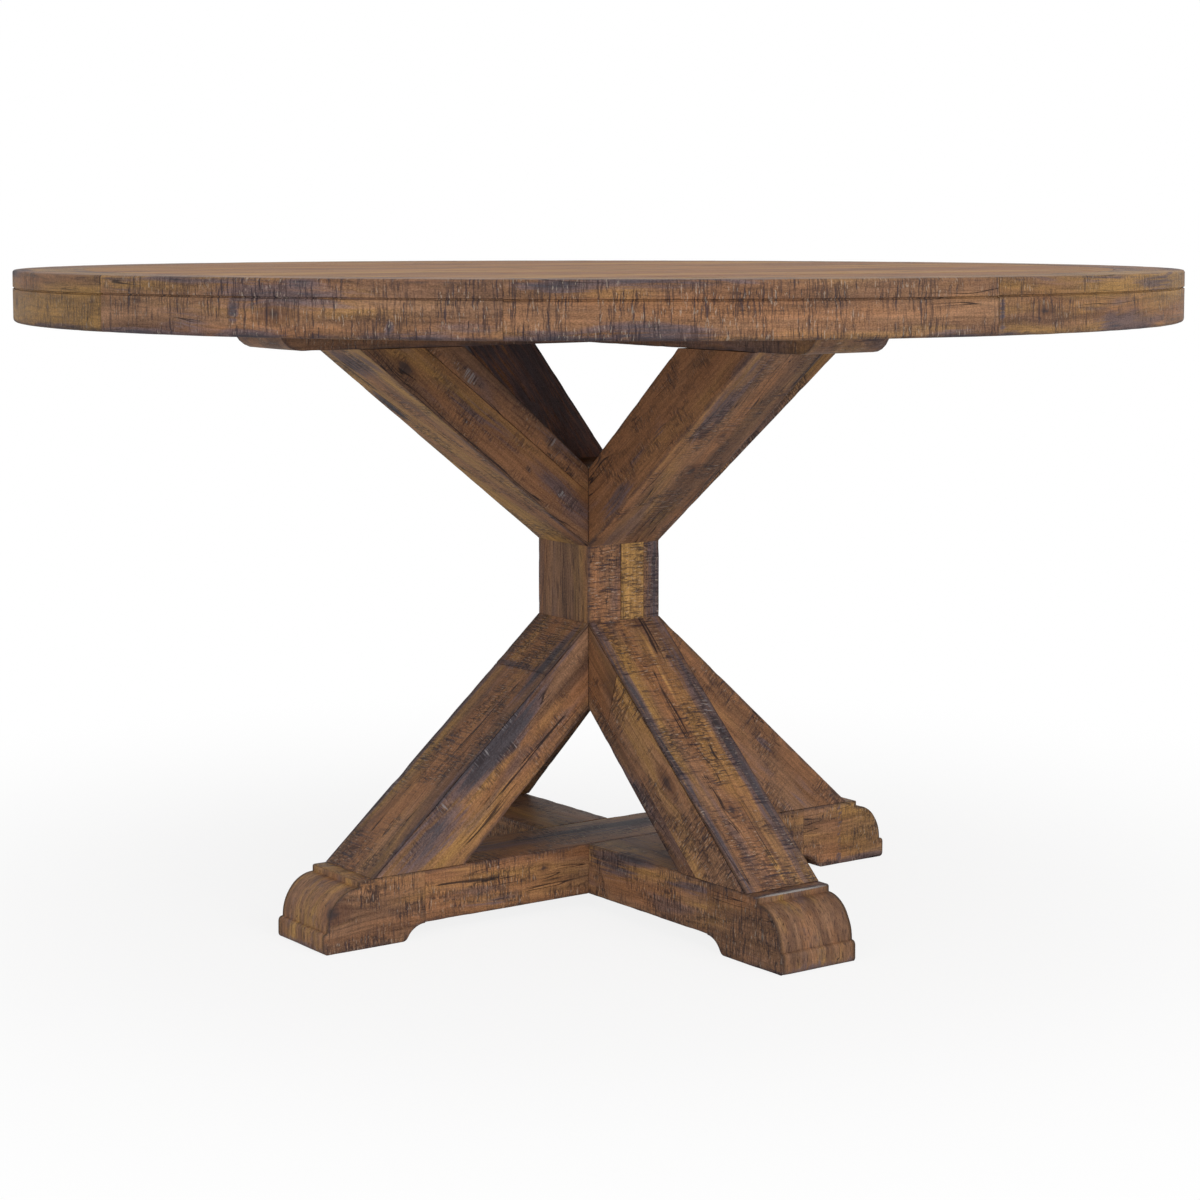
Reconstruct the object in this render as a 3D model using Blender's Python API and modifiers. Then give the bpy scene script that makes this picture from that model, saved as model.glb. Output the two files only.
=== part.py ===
"""Round pedestal dining table: a plank top in a segmented rim, on a crossed timber base.

The base is two upright frames that cross at a square post. Each frame has two arms that rise to a
cleat under the top and two legs that fall to a floor beam. The frames lie along X and Y, the floor
is at Z = 0, and the table's axis is Z.
"""
import math

import bmesh
import bpy
from mathutils import Matrix, Vector

# Overall sizes, in metres
TABLE_HEIGHT = 0.762
TOP_DIAMETER = 1.3716
FIT_GAP = 0.0003

# Rim of the top
EDGE_HEIGHT = 0.059
RIM_TOP_WIDTH = 0.080
LEDGE_WIDTH = 0.025
RIM_SEGMENT_COUNT = 9
FIRST_SEAM_DEG = -174.1
LONG_SEGMENTS_DEG = (40.8, 43.0)
RIM_STEP_DEG = 3.0
TOP_ARRIS = 0.003
BOTTOM_ARRIS = 0.004
GROOVE_DROP = 0.0197
GROOVE_WIDTH = 0.0026
GROOVE_DEPTH = 0.0024
RIM_TONGUE_LENGTH = 0.012
RIM_TONGUE_THICKNESS = 0.012
RIM_TONGUE_INSET = 0.020
RIM_TONGUE_ROOT = 0.010

# Field boards of the top
PLANK_COUNT = 9
PLANK_THICKNESS = 0.026
PLANK_EASE = 0.0012
PLANK_TONGUE_LENGTH = 0.010
PLANK_TONGUE_THICKNESS = 0.008
FIELD_SIDES = 120

# Timbers of the base
TIMBER_WIDTH = 0.104
TIMBER_ARRIS = 0.003
POST_ARRIS = 0.002
LEG_SPRING = 0.344
POST_BAND = 0.091
ARM_ROOT = 0.095
ARM_REACH = 0.3607
ARM_HEAD = 0.138
LEG_ROOT = 0.102
LEG_REACH = 0.352
LEG_SEAT = 0.1246

# Tenons
TENON_THICKNESS = 0.030
TENON_DEPTH = 0.030
ROOT_SHOULDER = 0.016
END_SHOULDER = 0.030
TENON_ROOT = 0.012

# Cleats
CLEAT_DROP = 0.027
CLEAT_OVERHANG = 0.105
CLEAT_END_RADIUS = 0.030
CLEAT_ARRIS = 0.002

# Floor beams and their moulded ends
BEAM_TOP = 0.0785
BEAM_ARRIS = 0.0015
UNDERCUT = 0.0178
COVE_RUN = 0.030
COVE_LIP = 0.008
PAD_LENGTH = 0.1035
SHELF = 0.0174
FILLET = 0.0077
OVOLO_RUN = 0.040
TOE_STEP = 0.0056
TOE_HEIGHT = 0.0245
TOE_ROUND = 0.005

# Bolts that hold the top, and their inserts
BOLT_RADIUS = 0.004
BOLT_FROM_ARM = 0.045
BOLT_HOLE_CLEARANCE = 0.0008
BOLT_FLANGE_RADIUS = 0.009
BOLT_FLANGE_THICKNESS = 0.0018
BOLT_HEAD_RADIUS = 0.0075
BOLT_HEAD_HEIGHT = 0.0055
COUNTERBORE_DEPTH = 0.022
COUNTERBORE_CLEARANCE = 0.003
TOP_INSERT_RADIUS = 0.006
TOP_INSERT_LENGTH = 0.015
INSERT_CHAMFER = 0.0008
BOLT_END_SHORT = 0.002
BORE_SIDES = 12

# Levelling glides, and their inserts
GLIDE_INSET = 0.052
GLIDE_RADIUS = 0.016
GLIDE_THICKNESS = 0.006
GLIDE_ROUND = 0.0015
GLIDE_STUD_RADIUS = 0.004
GLIDE_STUD_LENGTH = 0.028
GLIDE_RECESS_CLEARANCE = 0.0015
GLIDE_HEAD_ROOM = 0.001
GLIDE_INSERT_RADIUS = 0.008
GLIDE_INSERT_LENGTH = 0.018
GLIDE_STUD_ROOM = 0.003
GLIDE_SIDES = 18

# Heights and reaches that follow from the sizes above
TOP_RADIUS = TOP_DIAMETER / 2
RIM_BOTTOM = TABLE_HEIGHT - EDGE_HEIGHT
PLANK_BOTTOM = TABLE_HEIGHT - PLANK_THICKNESS
FIELD_RADIUS = TOP_RADIUS - RIM_TOP_WIDTH
RIM_INNER_RADIUS = FIELD_RADIUS - LEDGE_WIDTH
PLANK_WIDTH = 2 * FIELD_RADIUS / PLANK_COUNT
CLEAT_BOTTOM = RIM_BOTTOM - CLEAT_DROP
CLEAT_TOP = PLANK_BOTTOM - FIT_GAP
CLEAT_REACH = ARM_REACH + CLEAT_OVERHANG
POST_HALF = TIMBER_WIDTH / 2
ARM_SPRING = LEG_SPRING + POST_BAND
POST_HEAD = ARM_SPRING + ARM_ROOT
POST_FOOT = LEG_SPRING - LEG_ROOT
SHELF_REACH = LEG_REACH + SHELF
TOE_REACH = SHELF_REACH + OVOLO_RUN + TOE_STEP
PAD_INNER = TOE_REACH - PAD_LENGTH
GLIDE_REACH = TOE_REACH - GLIDE_INSET
BOLT_REACHES = (ARM_REACH - ARM_HEAD - BOLT_FROM_ARM, ARM_REACH + BOLT_FROM_ARM)
BOLT_SEAT = CLEAT_BOTTOM + COUNTERBORE_DEPTH
GLIDE_SEAT = GLIDE_THICKNESS + GLIDE_HEAD_ROOM

# The four sides of the base, by the direction in which each timber runs out from the post
BEARINGS = {"right": 0.0, "back": math.pi / 2, "left": math.pi, "front": 1.5 * math.pi}

# Facets of rounded shapes, and small tolerances of the modelling itself
ARRIS_STEPS = 2
SMALL_ARRIS_STEPS = 1
CLEAT_END_STEPS = 5
COVE_STEPS = 6
OVOLO_STEPS = 9
HEAD_SIDES = 6
SMOOTH_BELOW = math.radians(35)
MERGE_DISTANCE = 0.00001
TINY = 1e-7
CUTTER_MARGIN = 0.010


def clear_scene():
    for item in list(bpy.data.objects):
        bpy.data.objects.remove(item, do_unlink=True)


def new_collection(name):
    made = bpy.data.collections.new(name)
    bpy.context.scene.collection.children.link(made)
    return made


def finish(name, colour, roughness, metallic=0.0):
    made = bpy.data.materials.new(name)
    made.use_nodes = True
    shader = made.node_tree.nodes["Principled BSDF"]
    shader.inputs["Base Color"].default_value = (*colour, 1.0)
    shader.inputs["Roughness"].default_value = roughness
    shader.inputs["Metallic"].default_value = metallic
    return made


def to_mesh(bm, name):
    bmesh.ops.recalc_face_normals(bm, faces=bm.faces)
    mesh = bpy.data.meshes.new(name)
    bm.to_mesh(mesh)
    bm.free()
    return mesh


def add_part(name, mesh, material, location=(0, 0, 0), turn=0.0):
    """One sub-part of the table, placed by its location and its turn about Z."""
    part = bpy.data.objects.new(name, mesh)
    part.location = location
    part.rotation_euler = (0, 0, turn)
    part.parent = ORIGIN
    PARTS.objects.link(part)
    if not mesh.materials:
        mesh.materials.append(material)
    return part


def add_cutter(name, mesh, location=(0, 0, 0), turn=0.0):
    cutter = bpy.data.objects.new(name, mesh)
    cutter.location = location
    cutter.rotation_euler = (0, 0, turn)
    cutter.hide_render = True
    cutter.display_type = "WIRE"
    CUTTERS.objects.link(cutter)
    return cutter


def combine(part, tool, operation):
    step = part.modifiers.new(f"{operation.lower()} {tool.name}", "BOOLEAN")
    step.operation = operation
    step.solver = "EXACT"
    step.object = tool


def settled_mesh(part, name):
    """The shape that an object's modifiers give, as a mesh of its own."""
    graph = bpy.context.evaluated_depsgraph_get()
    mesh = bpy.data.meshes.new_from_object(part.evaluated_get(graph))
    mesh.name = name
    return mesh


def arc(centre, radii, start_deg, end_deg, steps):
    """Points on a quarter or other stretch of an ellipse, ends included."""
    points = []
    for step in range(steps + 1):
        angle = math.radians(start_deg + (end_deg - start_deg) * step / steps)
        points.append((centre[0] + radii[0] * math.cos(angle), centre[1] + radii[1] * math.sin(angle)))
    return points


def on_circle(reach, bearing, height=0.0):
    """The point at a given reach from the table's axis, in a given direction."""
    return Vector((reach * math.cos(bearing), reach * math.sin(bearing), height))


def prism(outline, width):
    """A solid of the given width, centred on Y, from a closed outline of (x, z) points."""
    bm = bmesh.new()
    face = bm.faces.new([bm.verts.new((x, -width / 2, z)) for x, z in outline])
    swept = bmesh.ops.extrude_face_region(bm, geom=[face])
    moved = [item for item in swept["geom"] if isinstance(item, bmesh.types.BMVert)]
    bmesh.ops.translate(bm, verts=moved, vec=(0, width, 0))
    bmesh.ops.recalc_face_normals(bm, faces=bm.faces)
    return bm


def add_box(bm, low, high, matrix=Matrix()):
    size = Vector(high) - Vector(low)
    middle = (Vector(high) + Vector(low)) / 2
    place = matrix @ Matrix.Translation(middle) @ Matrix.Diagonal((*size, 1))
    bmesh.ops.create_cube(bm, size=1.0, matrix=place)


def add_cylinder(bm, radius, low, high, sides, centre=(0, 0)):
    place = Matrix.Translation((centre[0], centre[1], (low + high) / 2))
    bmesh.ops.create_cone(bm, cap_ends=True, segments=sides, radius1=radius, radius2=radius,
                          depth=high - low, matrix=place)


def ease(bm, edges, width, segments):
    """Take off the sharp arris along the given edges."""
    bmesh.ops.bevel(bm, geom=edges, offset=width, offset_type="OFFSET", segments=segments, profile=0.5,
                    affect="EDGES", clamp_overlap=True, material=-1)


def side_edges(bm):
    """The edges that run round the two flat sides of a prism."""
    return [edge for edge in bm.edges if abs(edge.verts[0].co.y - edge.verts[1].co.y) < TINY]


def sloping_edges(bm):
    """The long edges of an arm or leg: they rise and run out at once."""
    found = []
    for edge in side_edges(bm):
        run = edge.verts[1].co - edge.verts[0].co
        if abs(run.x) > TINY and abs(run.z) > TINY:
            found.append(edge)
    return found


def turned(name, profile, sides, closed):
    """A turned mesh: an (r, z) profile, listed down its outer side, swept round Z."""
    bm = bmesh.new()
    verts = [bm.verts.new((radius, 0, height)) for radius, height in profile]
    for first, second in zip(verts, verts[1:]):
        bm.edges.new((first, second))
    if closed:
        bm.edges.new((verts[-1], verts[0]))
    mesh = bpy.data.meshes.new(name)
    bm.to_mesh(mesh)
    bm.free()
    blank = add_cutter(name, mesh)
    sweep = blank.modifiers.new("turn", "SCREW")
    sweep.angle = 2 * math.pi
    sweep.steps = sides
    sweep.render_steps = sides
    sweep.use_merge_vertices = True
    sweep.merge_threshold = MERGE_DISTANCE
    return blank


def turned_mesh(name, profile, sides, closed=False):
    blank = turned(name, profile, sides, closed)
    mesh = settled_mesh(blank, name)
    bpy.data.objects.remove(blank, do_unlink=True)
    bm = bmesh.new()
    bm.from_mesh(mesh)
    bpy.data.meshes.remove(mesh)
    made = to_mesh(bm, name)
    made.shade_smooth()
    made.set_sharp_from_angle(angle=SMOOTH_BELOW)
    return made


def rim_profile():
    """The rim's section: eased outer arrises, the routed line and the ledge for the field boards."""
    line = TABLE_HEIGHT - GROOVE_DROP
    bottom_centre = (TOP_RADIUS - BOTTOM_ARRIS, RIM_BOTTOM + BOTTOM_ARRIS)
    bottom = arc(bottom_centre, (BOTTOM_ARRIS, BOTTOM_ARRIS), -90, 0, ARRIS_STEPS)
    routed = [
        (TOP_RADIUS, line - GROOVE_WIDTH / 2),
        (TOP_RADIUS - GROOVE_DEPTH, line - GROOVE_WIDTH / 4),
        (TOP_RADIUS - GROOVE_DEPTH, line + GROOVE_WIDTH / 4),
        (TOP_RADIUS, line + GROOVE_WIDTH / 2),
    ]
    top_centre = (TOP_RADIUS - TOP_ARRIS, TABLE_HEIGHT - TOP_ARRIS)
    top = arc(top_centre, (TOP_ARRIS, TOP_ARRIS), 0, 90, ARRIS_STEPS)
    ledge = PLANK_BOTTOM - FIT_GAP
    inner = [
        (FIELD_RADIUS, TABLE_HEIGHT),
        (FIELD_RADIUS, ledge),
        (RIM_INNER_RADIUS, ledge),
        (RIM_INNER_RADIUS, RIM_BOTTOM),
    ]
    return bottom + routed + top + inner


def rim_tongue(bm, seam, spare):
    """The tongue across a seam: spare is the room that its groove leaves on every side."""
    middle = RIM_BOTTOM + (PLANK_BOTTOM - RIM_BOTTOM) / 2
    half = RIM_TONGUE_THICKNESS / 2 + spare
    low = (RIM_INNER_RADIUS + RIM_TONGUE_INSET - spare, -RIM_TONGUE_ROOT, middle - half)
    high = (TOP_RADIUS - RIM_TONGUE_INSET + spare, RIM_TONGUE_LENGTH + spare, middle + half)
    add_box(bm, low, high, Matrix.Rotation(seam, 4, "Z"))


def rim_seams():
    """Directions of the butt seams: the long segments first, the others sharing what is left."""
    others = RIM_SEGMENT_COUNT - len(LONG_SEGMENTS_DEG)
    shared = (360 - sum(LONG_SEGMENTS_DEG)) / others
    seams = [math.radians(FIRST_SEAM_DEG)]
    for size in (*LONG_SEGMENTS_DEG, *[shared] * others):
        seams.append(seams[-1] + math.radians(size))
    return seams


def rim_blank(start, end):
    """A segment as a spun solid that stops half a fit gap short of the seam at each end."""
    gap = FIT_GAP / TOP_RADIUS
    turn = Matrix.Rotation(start + gap / 2, 4, "Z")
    bm = bmesh.new()
    verts = [bm.verts.new(turn @ Vector((radius, 0, height))) for radius, height in rim_profile()]
    face = bm.faces.new(verts)
    steps = round(math.degrees(end - start) / RIM_STEP_DEG)
    bmesh.ops.spin(bm, geom=[face, *face.edges, *face.verts], cent=(0, 0, 0), axis=(0, 0, 1),
                   angle=end - start - gap, steps=steps, use_duplicate=False)
    return bm


def build_rim(material):
    seams = rim_seams()
    for number, (start, end) in enumerate(zip(seams, seams[1:]), start=1):
        name = f"rim_segment_{number}"
        part = add_part(name, to_mesh(rim_blank(start, end), name), material)
        tongue = bmesh.new()
        rim_tongue(tongue, end, 0.0)
        combine(part, add_cutter(f"rim_tongue_{number}", to_mesh(tongue, "rim_tongue")), "UNION")
        groove = bmesh.new()
        rim_tongue(groove, start, FIT_GAP)
        combine(part, add_cutter(f"rim_groove_{number}", to_mesh(groove, "rim_groove")), "DIFFERENCE")


def plank_outline(number):
    """The end view of a field board as (y, z) points, with its tongue at +Y and its groove at -Y."""
    low = -FIELD_RADIUS + number * PLANK_WIDTH + FIT_GAP / 2
    high = low + PLANK_WIDTH - FIT_GAP
    middle = (TABLE_HEIGHT + PLANK_BOTTOM) / 2
    outline = [(low, PLANK_BOTTOM), (high, PLANK_BOTTOM)]
    if number < PLANK_COUNT - 1:
        half = PLANK_TONGUE_THICKNESS / 2
        tip = high + PLANK_TONGUE_LENGTH
        outline += [(high, middle - half), (tip, middle - half)]
        outline += [(tip, middle + half), (high, middle + half)]
    outline += [(high, TABLE_HEIGHT - PLANK_EASE), (high - PLANK_EASE, TABLE_HEIGHT)]
    outline += [(low + PLANK_EASE, TABLE_HEIGHT), (low, TABLE_HEIGHT - PLANK_EASE)]
    if number > 0:
        half = PLANK_TONGUE_THICKNESS / 2 + FIT_GAP
        floor = low + PLANK_TONGUE_LENGTH + FIT_GAP
        outline += [(low, middle + half), (floor, middle + half)]
        outline += [(floor, middle - half), (low, middle - half)]
    return outline


def build_planks(material):
    disc = bmesh.new()
    add_cylinder(disc, FIELD_RADIUS - FIT_GAP, PLANK_BOTTOM - CUTTER_MARGIN, TABLE_HEIGHT + CUTTER_MARGIN,
                 FIELD_SIDES)
    disc_cutter = add_cutter("field_disc", to_mesh(disc, "field_disc"))
    holes = bmesh.new()
    hole_radius = TOP_INSERT_RADIUS + FIT_GAP
    for spot in bolt_spots():
        add_cylinder(holes, hole_radius, PLANK_BOTTOM - CUTTER_MARGIN,
                     PLANK_BOTTOM + TOP_INSERT_LENGTH + FIT_GAP, BORE_SIDES, spot)
    hole_cutter = add_cutter("top_insert_holes", to_mesh(holes, "top_insert_holes"))
    crossways = Matrix.Rotation(math.pi / 2, 4, "Z")
    for number in range(PLANK_COUNT):
        bm = prism(plank_outline(number), 2 * FIELD_RADIUS)
        bmesh.ops.transform(bm, matrix=crossways, verts=bm.verts)
        name = f"top_plank_{number + 1}"
        part = add_part(name, to_mesh(bm, name), material)
        combine(part, disc_cutter, "INTERSECT")
        middle = -FIELD_RADIUS + (number + 0.5) * PLANK_WIDTH
        reach = PLANK_WIDTH / 2 + hole_radius + PLANK_TONGUE_LENGTH
        if any(abs(spot[1] - middle) < reach for spot in bolt_spots()):
            combine(part, hole_cutter, "DIFFERENCE")


def bolt_spots():
    """Where the eight bolts rise, two under each end of each cleat."""
    return [on_circle(reach, bearing) for bearing in BEARINGS.values() for reach in BOLT_REACHES]


def root_tenon(spring, root, spare):
    """Corners of a stub tenon in the post: spring is the lower edge of the timber's root."""
    half = TENON_THICKNESS / 2 + spare
    low = (POST_HALF - TENON_DEPTH - spare, -half, spring + ROOT_SHOULDER - spare)
    high = (POST_HALF + TENON_ROOT, half, spring + root - ROOT_SHOULDER + spare)
    return low, high


def end_tenon(reach, length, seat, way, spare):
    """Corners of a stub tenon in a cleat (way +1) or in a floor beam (way -1)."""
    half = TENON_THICKNESS / 2 + spare
    ends = (seat - way * TENON_ROOT, seat + way * (TENON_DEPTH + spare))
    low = (reach - length + END_SHOULDER - spare, -half, min(ends))
    high = (reach - END_SHOULDER + spare, half, max(ends))
    return low, high


def arm_tenons(spare=0.0):
    root = root_tenon(ARM_SPRING, ARM_ROOT, spare)
    return root, end_tenon(ARM_REACH, ARM_HEAD, CLEAT_BOTTOM, 1, spare)


def leg_tenons(spare=0.0):
    root = root_tenon(POST_FOOT, LEG_ROOT, spare)
    return root, end_tenon(LEG_REACH, LEG_SEAT, BEAM_TOP, -1, spare)


def build_slanted(kind, outline, tenons, material):
    """Four like timbers from one mesh: a slanted blank with a tenon at its root and at its end."""
    bm = prism(outline, TIMBER_WIDTH)
    ease(bm, sloping_edges(bm), TIMBER_ARRIS, ARRIS_STEPS)
    blank = add_cutter(f"{kind}_blank", to_mesh(bm, f"{kind}_blank"))
    for number, (low, high) in enumerate(tenons):
        tenon = bmesh.new()
        add_box(tenon, low, high)
        combine(blank, add_cutter(f"{kind}_tenon_{number}", to_mesh(tenon, f"{kind}_tenon")), "UNION")
    mesh = settled_mesh(blank, kind)
    for side, bearing in BEARINGS.items():
        add_part(f"{kind}_{side}", mesh, material, turn=bearing)


def build_arms(material):
    seat = CLEAT_BOTTOM - FIT_GAP
    inner = POST_HALF + FIT_GAP
    outline = [(inner, ARM_SPRING), (ARM_REACH, seat), (ARM_REACH - ARM_HEAD, seat), (inner, POST_HEAD)]
    build_slanted("arm", outline, arm_tenons(), material)


def build_legs(material):
    seat = BEAM_TOP + FIT_GAP
    inner = POST_HALF + FIT_GAP
    outline = [(inner, POST_FOOT), (LEG_REACH - LEG_SEAT, seat), (LEG_REACH, seat), (inner, LEG_SPRING)]
    build_slanted("leg", outline, leg_tenons(), material)


def mortises(name, boxes, bearings):
    """One cutter with the same boxes at each bearing."""
    bm = bmesh.new()
    for bearing in bearings:
        for low, high in boxes:
            add_box(bm, low, high, Matrix.Rotation(bearing, 4, "Z"))
    return add_cutter(name, to_mesh(bm, name))


def build_post(material):
    bm = bmesh.new()
    add_box(bm, (-POST_HALF, -POST_HALF, POST_FOOT), (POST_HALF, POST_HALF, POST_HEAD))
    upright = [edge for edge in bm.edges if abs(edge.verts[0].co.z - edge.verts[1].co.z) > TINY]
    ease(bm, upright, POST_ARRIS, ARRIS_STEPS)
    post = add_part("post", to_mesh(bm, "post"), material)
    boxes = (arm_tenons(FIT_GAP)[0], leg_tenons(FIT_GAP)[0])
    combine(post, mortises("post_mortises", boxes, BEARINGS.values()), "DIFFERENCE")


def half_lap(name, low, high, bearing):
    """A cutter for one half of a crossing joint: the room that the other timber takes."""
    bm = bmesh.new()
    half = POST_HALF + FIT_GAP
    add_box(bm, (-half, -TIMBER_WIDTH, low), (half, TIMBER_WIDTH, high))
    return add_cutter(name, to_mesh(bm, name), turn=bearing)


def build_crossed_pair(kind, outline, arris, bottom, top, mortise, material):
    """Two timbers, along X and along Y, that cross in a half-lap and take a tenon near each end."""
    middle = (bottom + top) / 2
    laps = {
        "along": (0.0, bottom - CUTTER_MARGIN, middle + FIT_GAP / 2),
        "across": (math.pi / 2, middle - FIT_GAP / 2, top + CUTTER_MARGIN),
    }
    pair = []
    for way, (bearing, low, high) in laps.items():
        name = f"{kind}_{way}"
        bm = prism(outline, TIMBER_WIDTH)
        ease(bm, side_edges(bm), arris, SMALL_ARRIS_STEPS)
        part = add_part(name, to_mesh(bm, name), material, turn=bearing)
        combine(part, half_lap(f"{name}_lap", low, high, bearing), "DIFFERENCE")
        seats = mortises(f"{name}_mortises", [mortise], (bearing, bearing + math.pi))
        combine(part, seats, "DIFFERENCE")
        pair.append((part, bearing))
    return pair


def cleat_outline():
    turn = CLEAT_END_RADIUS
    right = arc((CLEAT_REACH - turn, CLEAT_BOTTOM + turn), (turn, turn), -90, 0, CLEAT_END_STEPS)
    right.append((CLEAT_REACH, CLEAT_TOP))
    return right + [(-x, z) for x, z in reversed(right)]


def cleat_bores(name, radius, top):
    """One upright bore at each bolt of a cleat that runs along X."""
    bm = bmesh.new()
    for reach in BOLT_REACHES:
        for spot in (-reach, reach):
            add_cylinder(bm, radius, CLEAT_BOTTOM - CUTTER_MARGIN, top, BORE_SIDES, (spot, 0))
    return to_mesh(bm, name)


def build_cleats(material):
    mortise = arm_tenons(FIT_GAP)[1]
    pair = build_crossed_pair("cleat", cleat_outline(), CLEAT_ARRIS, CLEAT_BOTTOM, CLEAT_TOP, mortise,
                              material)
    counterbores = cleat_bores("counterbores", BOLT_FLANGE_RADIUS + COUNTERBORE_CLEARANCE, BOLT_SEAT)
    holes = cleat_bores("bolt_holes", BOLT_RADIUS + BOLT_HOLE_CLEARANCE, CLEAT_TOP + CUTTER_MARGIN)
    for part, bearing in pair:
        for bores in (counterbores, holes):
            cutter = add_cutter(f"{part.name}_{bores.name}", bores, turn=bearing)
            combine(part, cutter, "DIFFERENCE")


def cove():
    """From the relieved underside to the pad: a hollow arc that runs into a small rounded lip."""
    slope = 2 * math.atan(UNDERCUT / COVE_RUN)
    hollow = COVE_RUN / math.sin(slope) - COVE_LIP
    turn = math.degrees(slope)
    points = arc((PAD_INNER - COVE_RUN, UNDERCUT - hollow), (hollow, hollow), 90, 90 - turn, COVE_STEPS)
    return points + arc((PAD_INNER, COVE_LIP), (COVE_LIP, COVE_LIP), 270 - turn, 270, ARRIS_STEPS)[1:]


def beam_outline():
    """Side view of a floor beam: cove under the pad, rounded toe, ovolo, fillet and flat top."""
    right = cove()
    toe = (TOE_ROUND, TOE_ROUND)
    right += arc((TOE_REACH - TOE_ROUND, TOE_ROUND), toe, -90, 0, ARRIS_STEPS)
    right += arc((TOE_REACH - TOE_ROUND, TOE_HEIGHT - TOE_ROUND), toe, 0, 90, ARRIS_STEPS)
    ovolo_rise = BEAM_TOP - FILLET - TOE_HEIGHT
    right += arc((SHELF_REACH, TOE_HEIGHT), (OVOLO_RUN, ovolo_rise), 0, 90, OVOLO_STEPS)
    right.append((SHELF_REACH, BEAM_TOP))
    return right + [(-x, z) for x, z in reversed(right)]


def glide_recess():
    """The stepped bore under a foot: pad recess, insert bore and room for the stud's end."""
    top = GLIDE_THICKNESS + GLIDE_STUD_LENGTH + GLIDE_STUD_ROOM
    shoulder = GLIDE_SEAT + GLIDE_INSERT_LENGTH + FIT_GAP
    room = GLIDE_STUD_RADIUS + GLIDE_RECESS_CLEARANCE
    mouth = GLIDE_RADIUS + GLIDE_RECESS_CLEARANCE
    bore = GLIDE_INSERT_RADIUS + FIT_GAP
    profile = [(0, top), (room, top), (room, shoulder), (bore, shoulder), (bore, GLIDE_SEAT)]
    profile += [(mouth, GLIDE_SEAT), (mouth, -CUTTER_MARGIN), (0, -CUTTER_MARGIN)]
    return turned_mesh("glide_recess", profile, GLIDE_SIDES)


def build_beams(material):
    mortise = leg_tenons(FIT_GAP)[1]
    pair = build_crossed_pair("floor_beam", beam_outline(), BEAM_ARRIS, UNDERCUT, BEAM_TOP, mortise,
                              material)
    recess = glide_recess()
    for part, bearing in pair:
        for way in (bearing, bearing + math.pi):
            cutter = add_cutter(f"{part.name}_recess", recess, on_circle(GLIDE_REACH, way))
            combine(part, cutter, "DIFFERENCE")


def insert_mesh(name, radius, bore, length):
    """A threaded insert as a plain sleeve with chamfered outer ends, standing on Z = 0."""
    nip = INSERT_CHAMFER
    profile = [(bore, length), (radius - nip, length), (radius, length - nip), (radius, nip),
               (radius - nip, 0), (bore, 0)]
    return turned_mesh(name, profile, BORE_SIDES, closed=True)


def bolt_mesh():
    """A flanged bolt from below: hexagon head, flange and shank, with the flange's seat at Z = 0."""
    length = PLANK_BOTTOM + TOP_INSERT_LENGTH - BOLT_END_SHORT - BOLT_SEAT
    flange_bottom = -FIT_GAP - BOLT_FLANGE_THICKNESS
    profile = [(0, length), (BOLT_RADIUS, length), (BOLT_RADIUS, -FIT_GAP)]
    profile += [(BOLT_FLANGE_RADIUS, -FIT_GAP), (BOLT_FLANGE_RADIUS, flange_bottom), (0, flange_bottom)]
    blank = add_cutter("bolt_blank", turned_mesh("bolt_shank", profile, BORE_SIDES))
    head = bmesh.new()
    top = -FIT_GAP - BOLT_FLANGE_THICKNESS / 2
    add_cylinder(head, BOLT_HEAD_RADIUS, top - BOLT_HEAD_HEIGHT, top, HEAD_SIDES)
    combine(blank, add_cutter("bolt_head", to_mesh(head, "bolt_head")), "UNION")
    return settled_mesh(blank, "top_bolt")


def glide_mesh():
    """A levelling glide: a round pad that meets the floor at Z = 0, and its stud."""
    top = GLIDE_THICKNESS + GLIDE_STUD_LENGTH
    rim = GLIDE_RADIUS - GLIDE_ROUND
    profile = [(0, top), (GLIDE_STUD_RADIUS, top), (GLIDE_STUD_RADIUS, GLIDE_THICKNESS)]
    profile += [(rim, GLIDE_THICKNESS), (GLIDE_RADIUS, GLIDE_THICKNESS - GLIDE_ROUND)]
    profile += [(GLIDE_RADIUS, GLIDE_ROUND), (rim, 0), (0, 0)]
    return turned_mesh("glide", profile, GLIDE_SIDES)


def build_hardware(steel, brass, nylon):
    bolt = bolt_mesh()
    sleeve = insert_mesh("top_insert", TOP_INSERT_RADIUS, BOLT_RADIUS + FIT_GAP, TOP_INSERT_LENGTH)
    for number, spot in enumerate(bolt_spots(), start=1):
        add_part(f"top_bolt_{number}", bolt, steel, spot + Vector((0, 0, BOLT_SEAT)))
        add_part(f"top_insert_{number}", sleeve, brass, spot + Vector((0, 0, PLANK_BOTTOM)))
    glide = glide_mesh()
    bore = GLIDE_STUD_RADIUS + FIT_GAP
    socket = insert_mesh("glide_insert", GLIDE_INSERT_RADIUS, bore, GLIDE_INSERT_LENGTH)
    for side, bearing in BEARINGS.items():
        add_part(f"glide_{side}", glide, nylon, on_circle(GLIDE_REACH, bearing))
        add_part(f"glide_insert_{side}", socket, brass, on_circle(GLIDE_REACH, bearing, GLIDE_SEAT))


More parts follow.
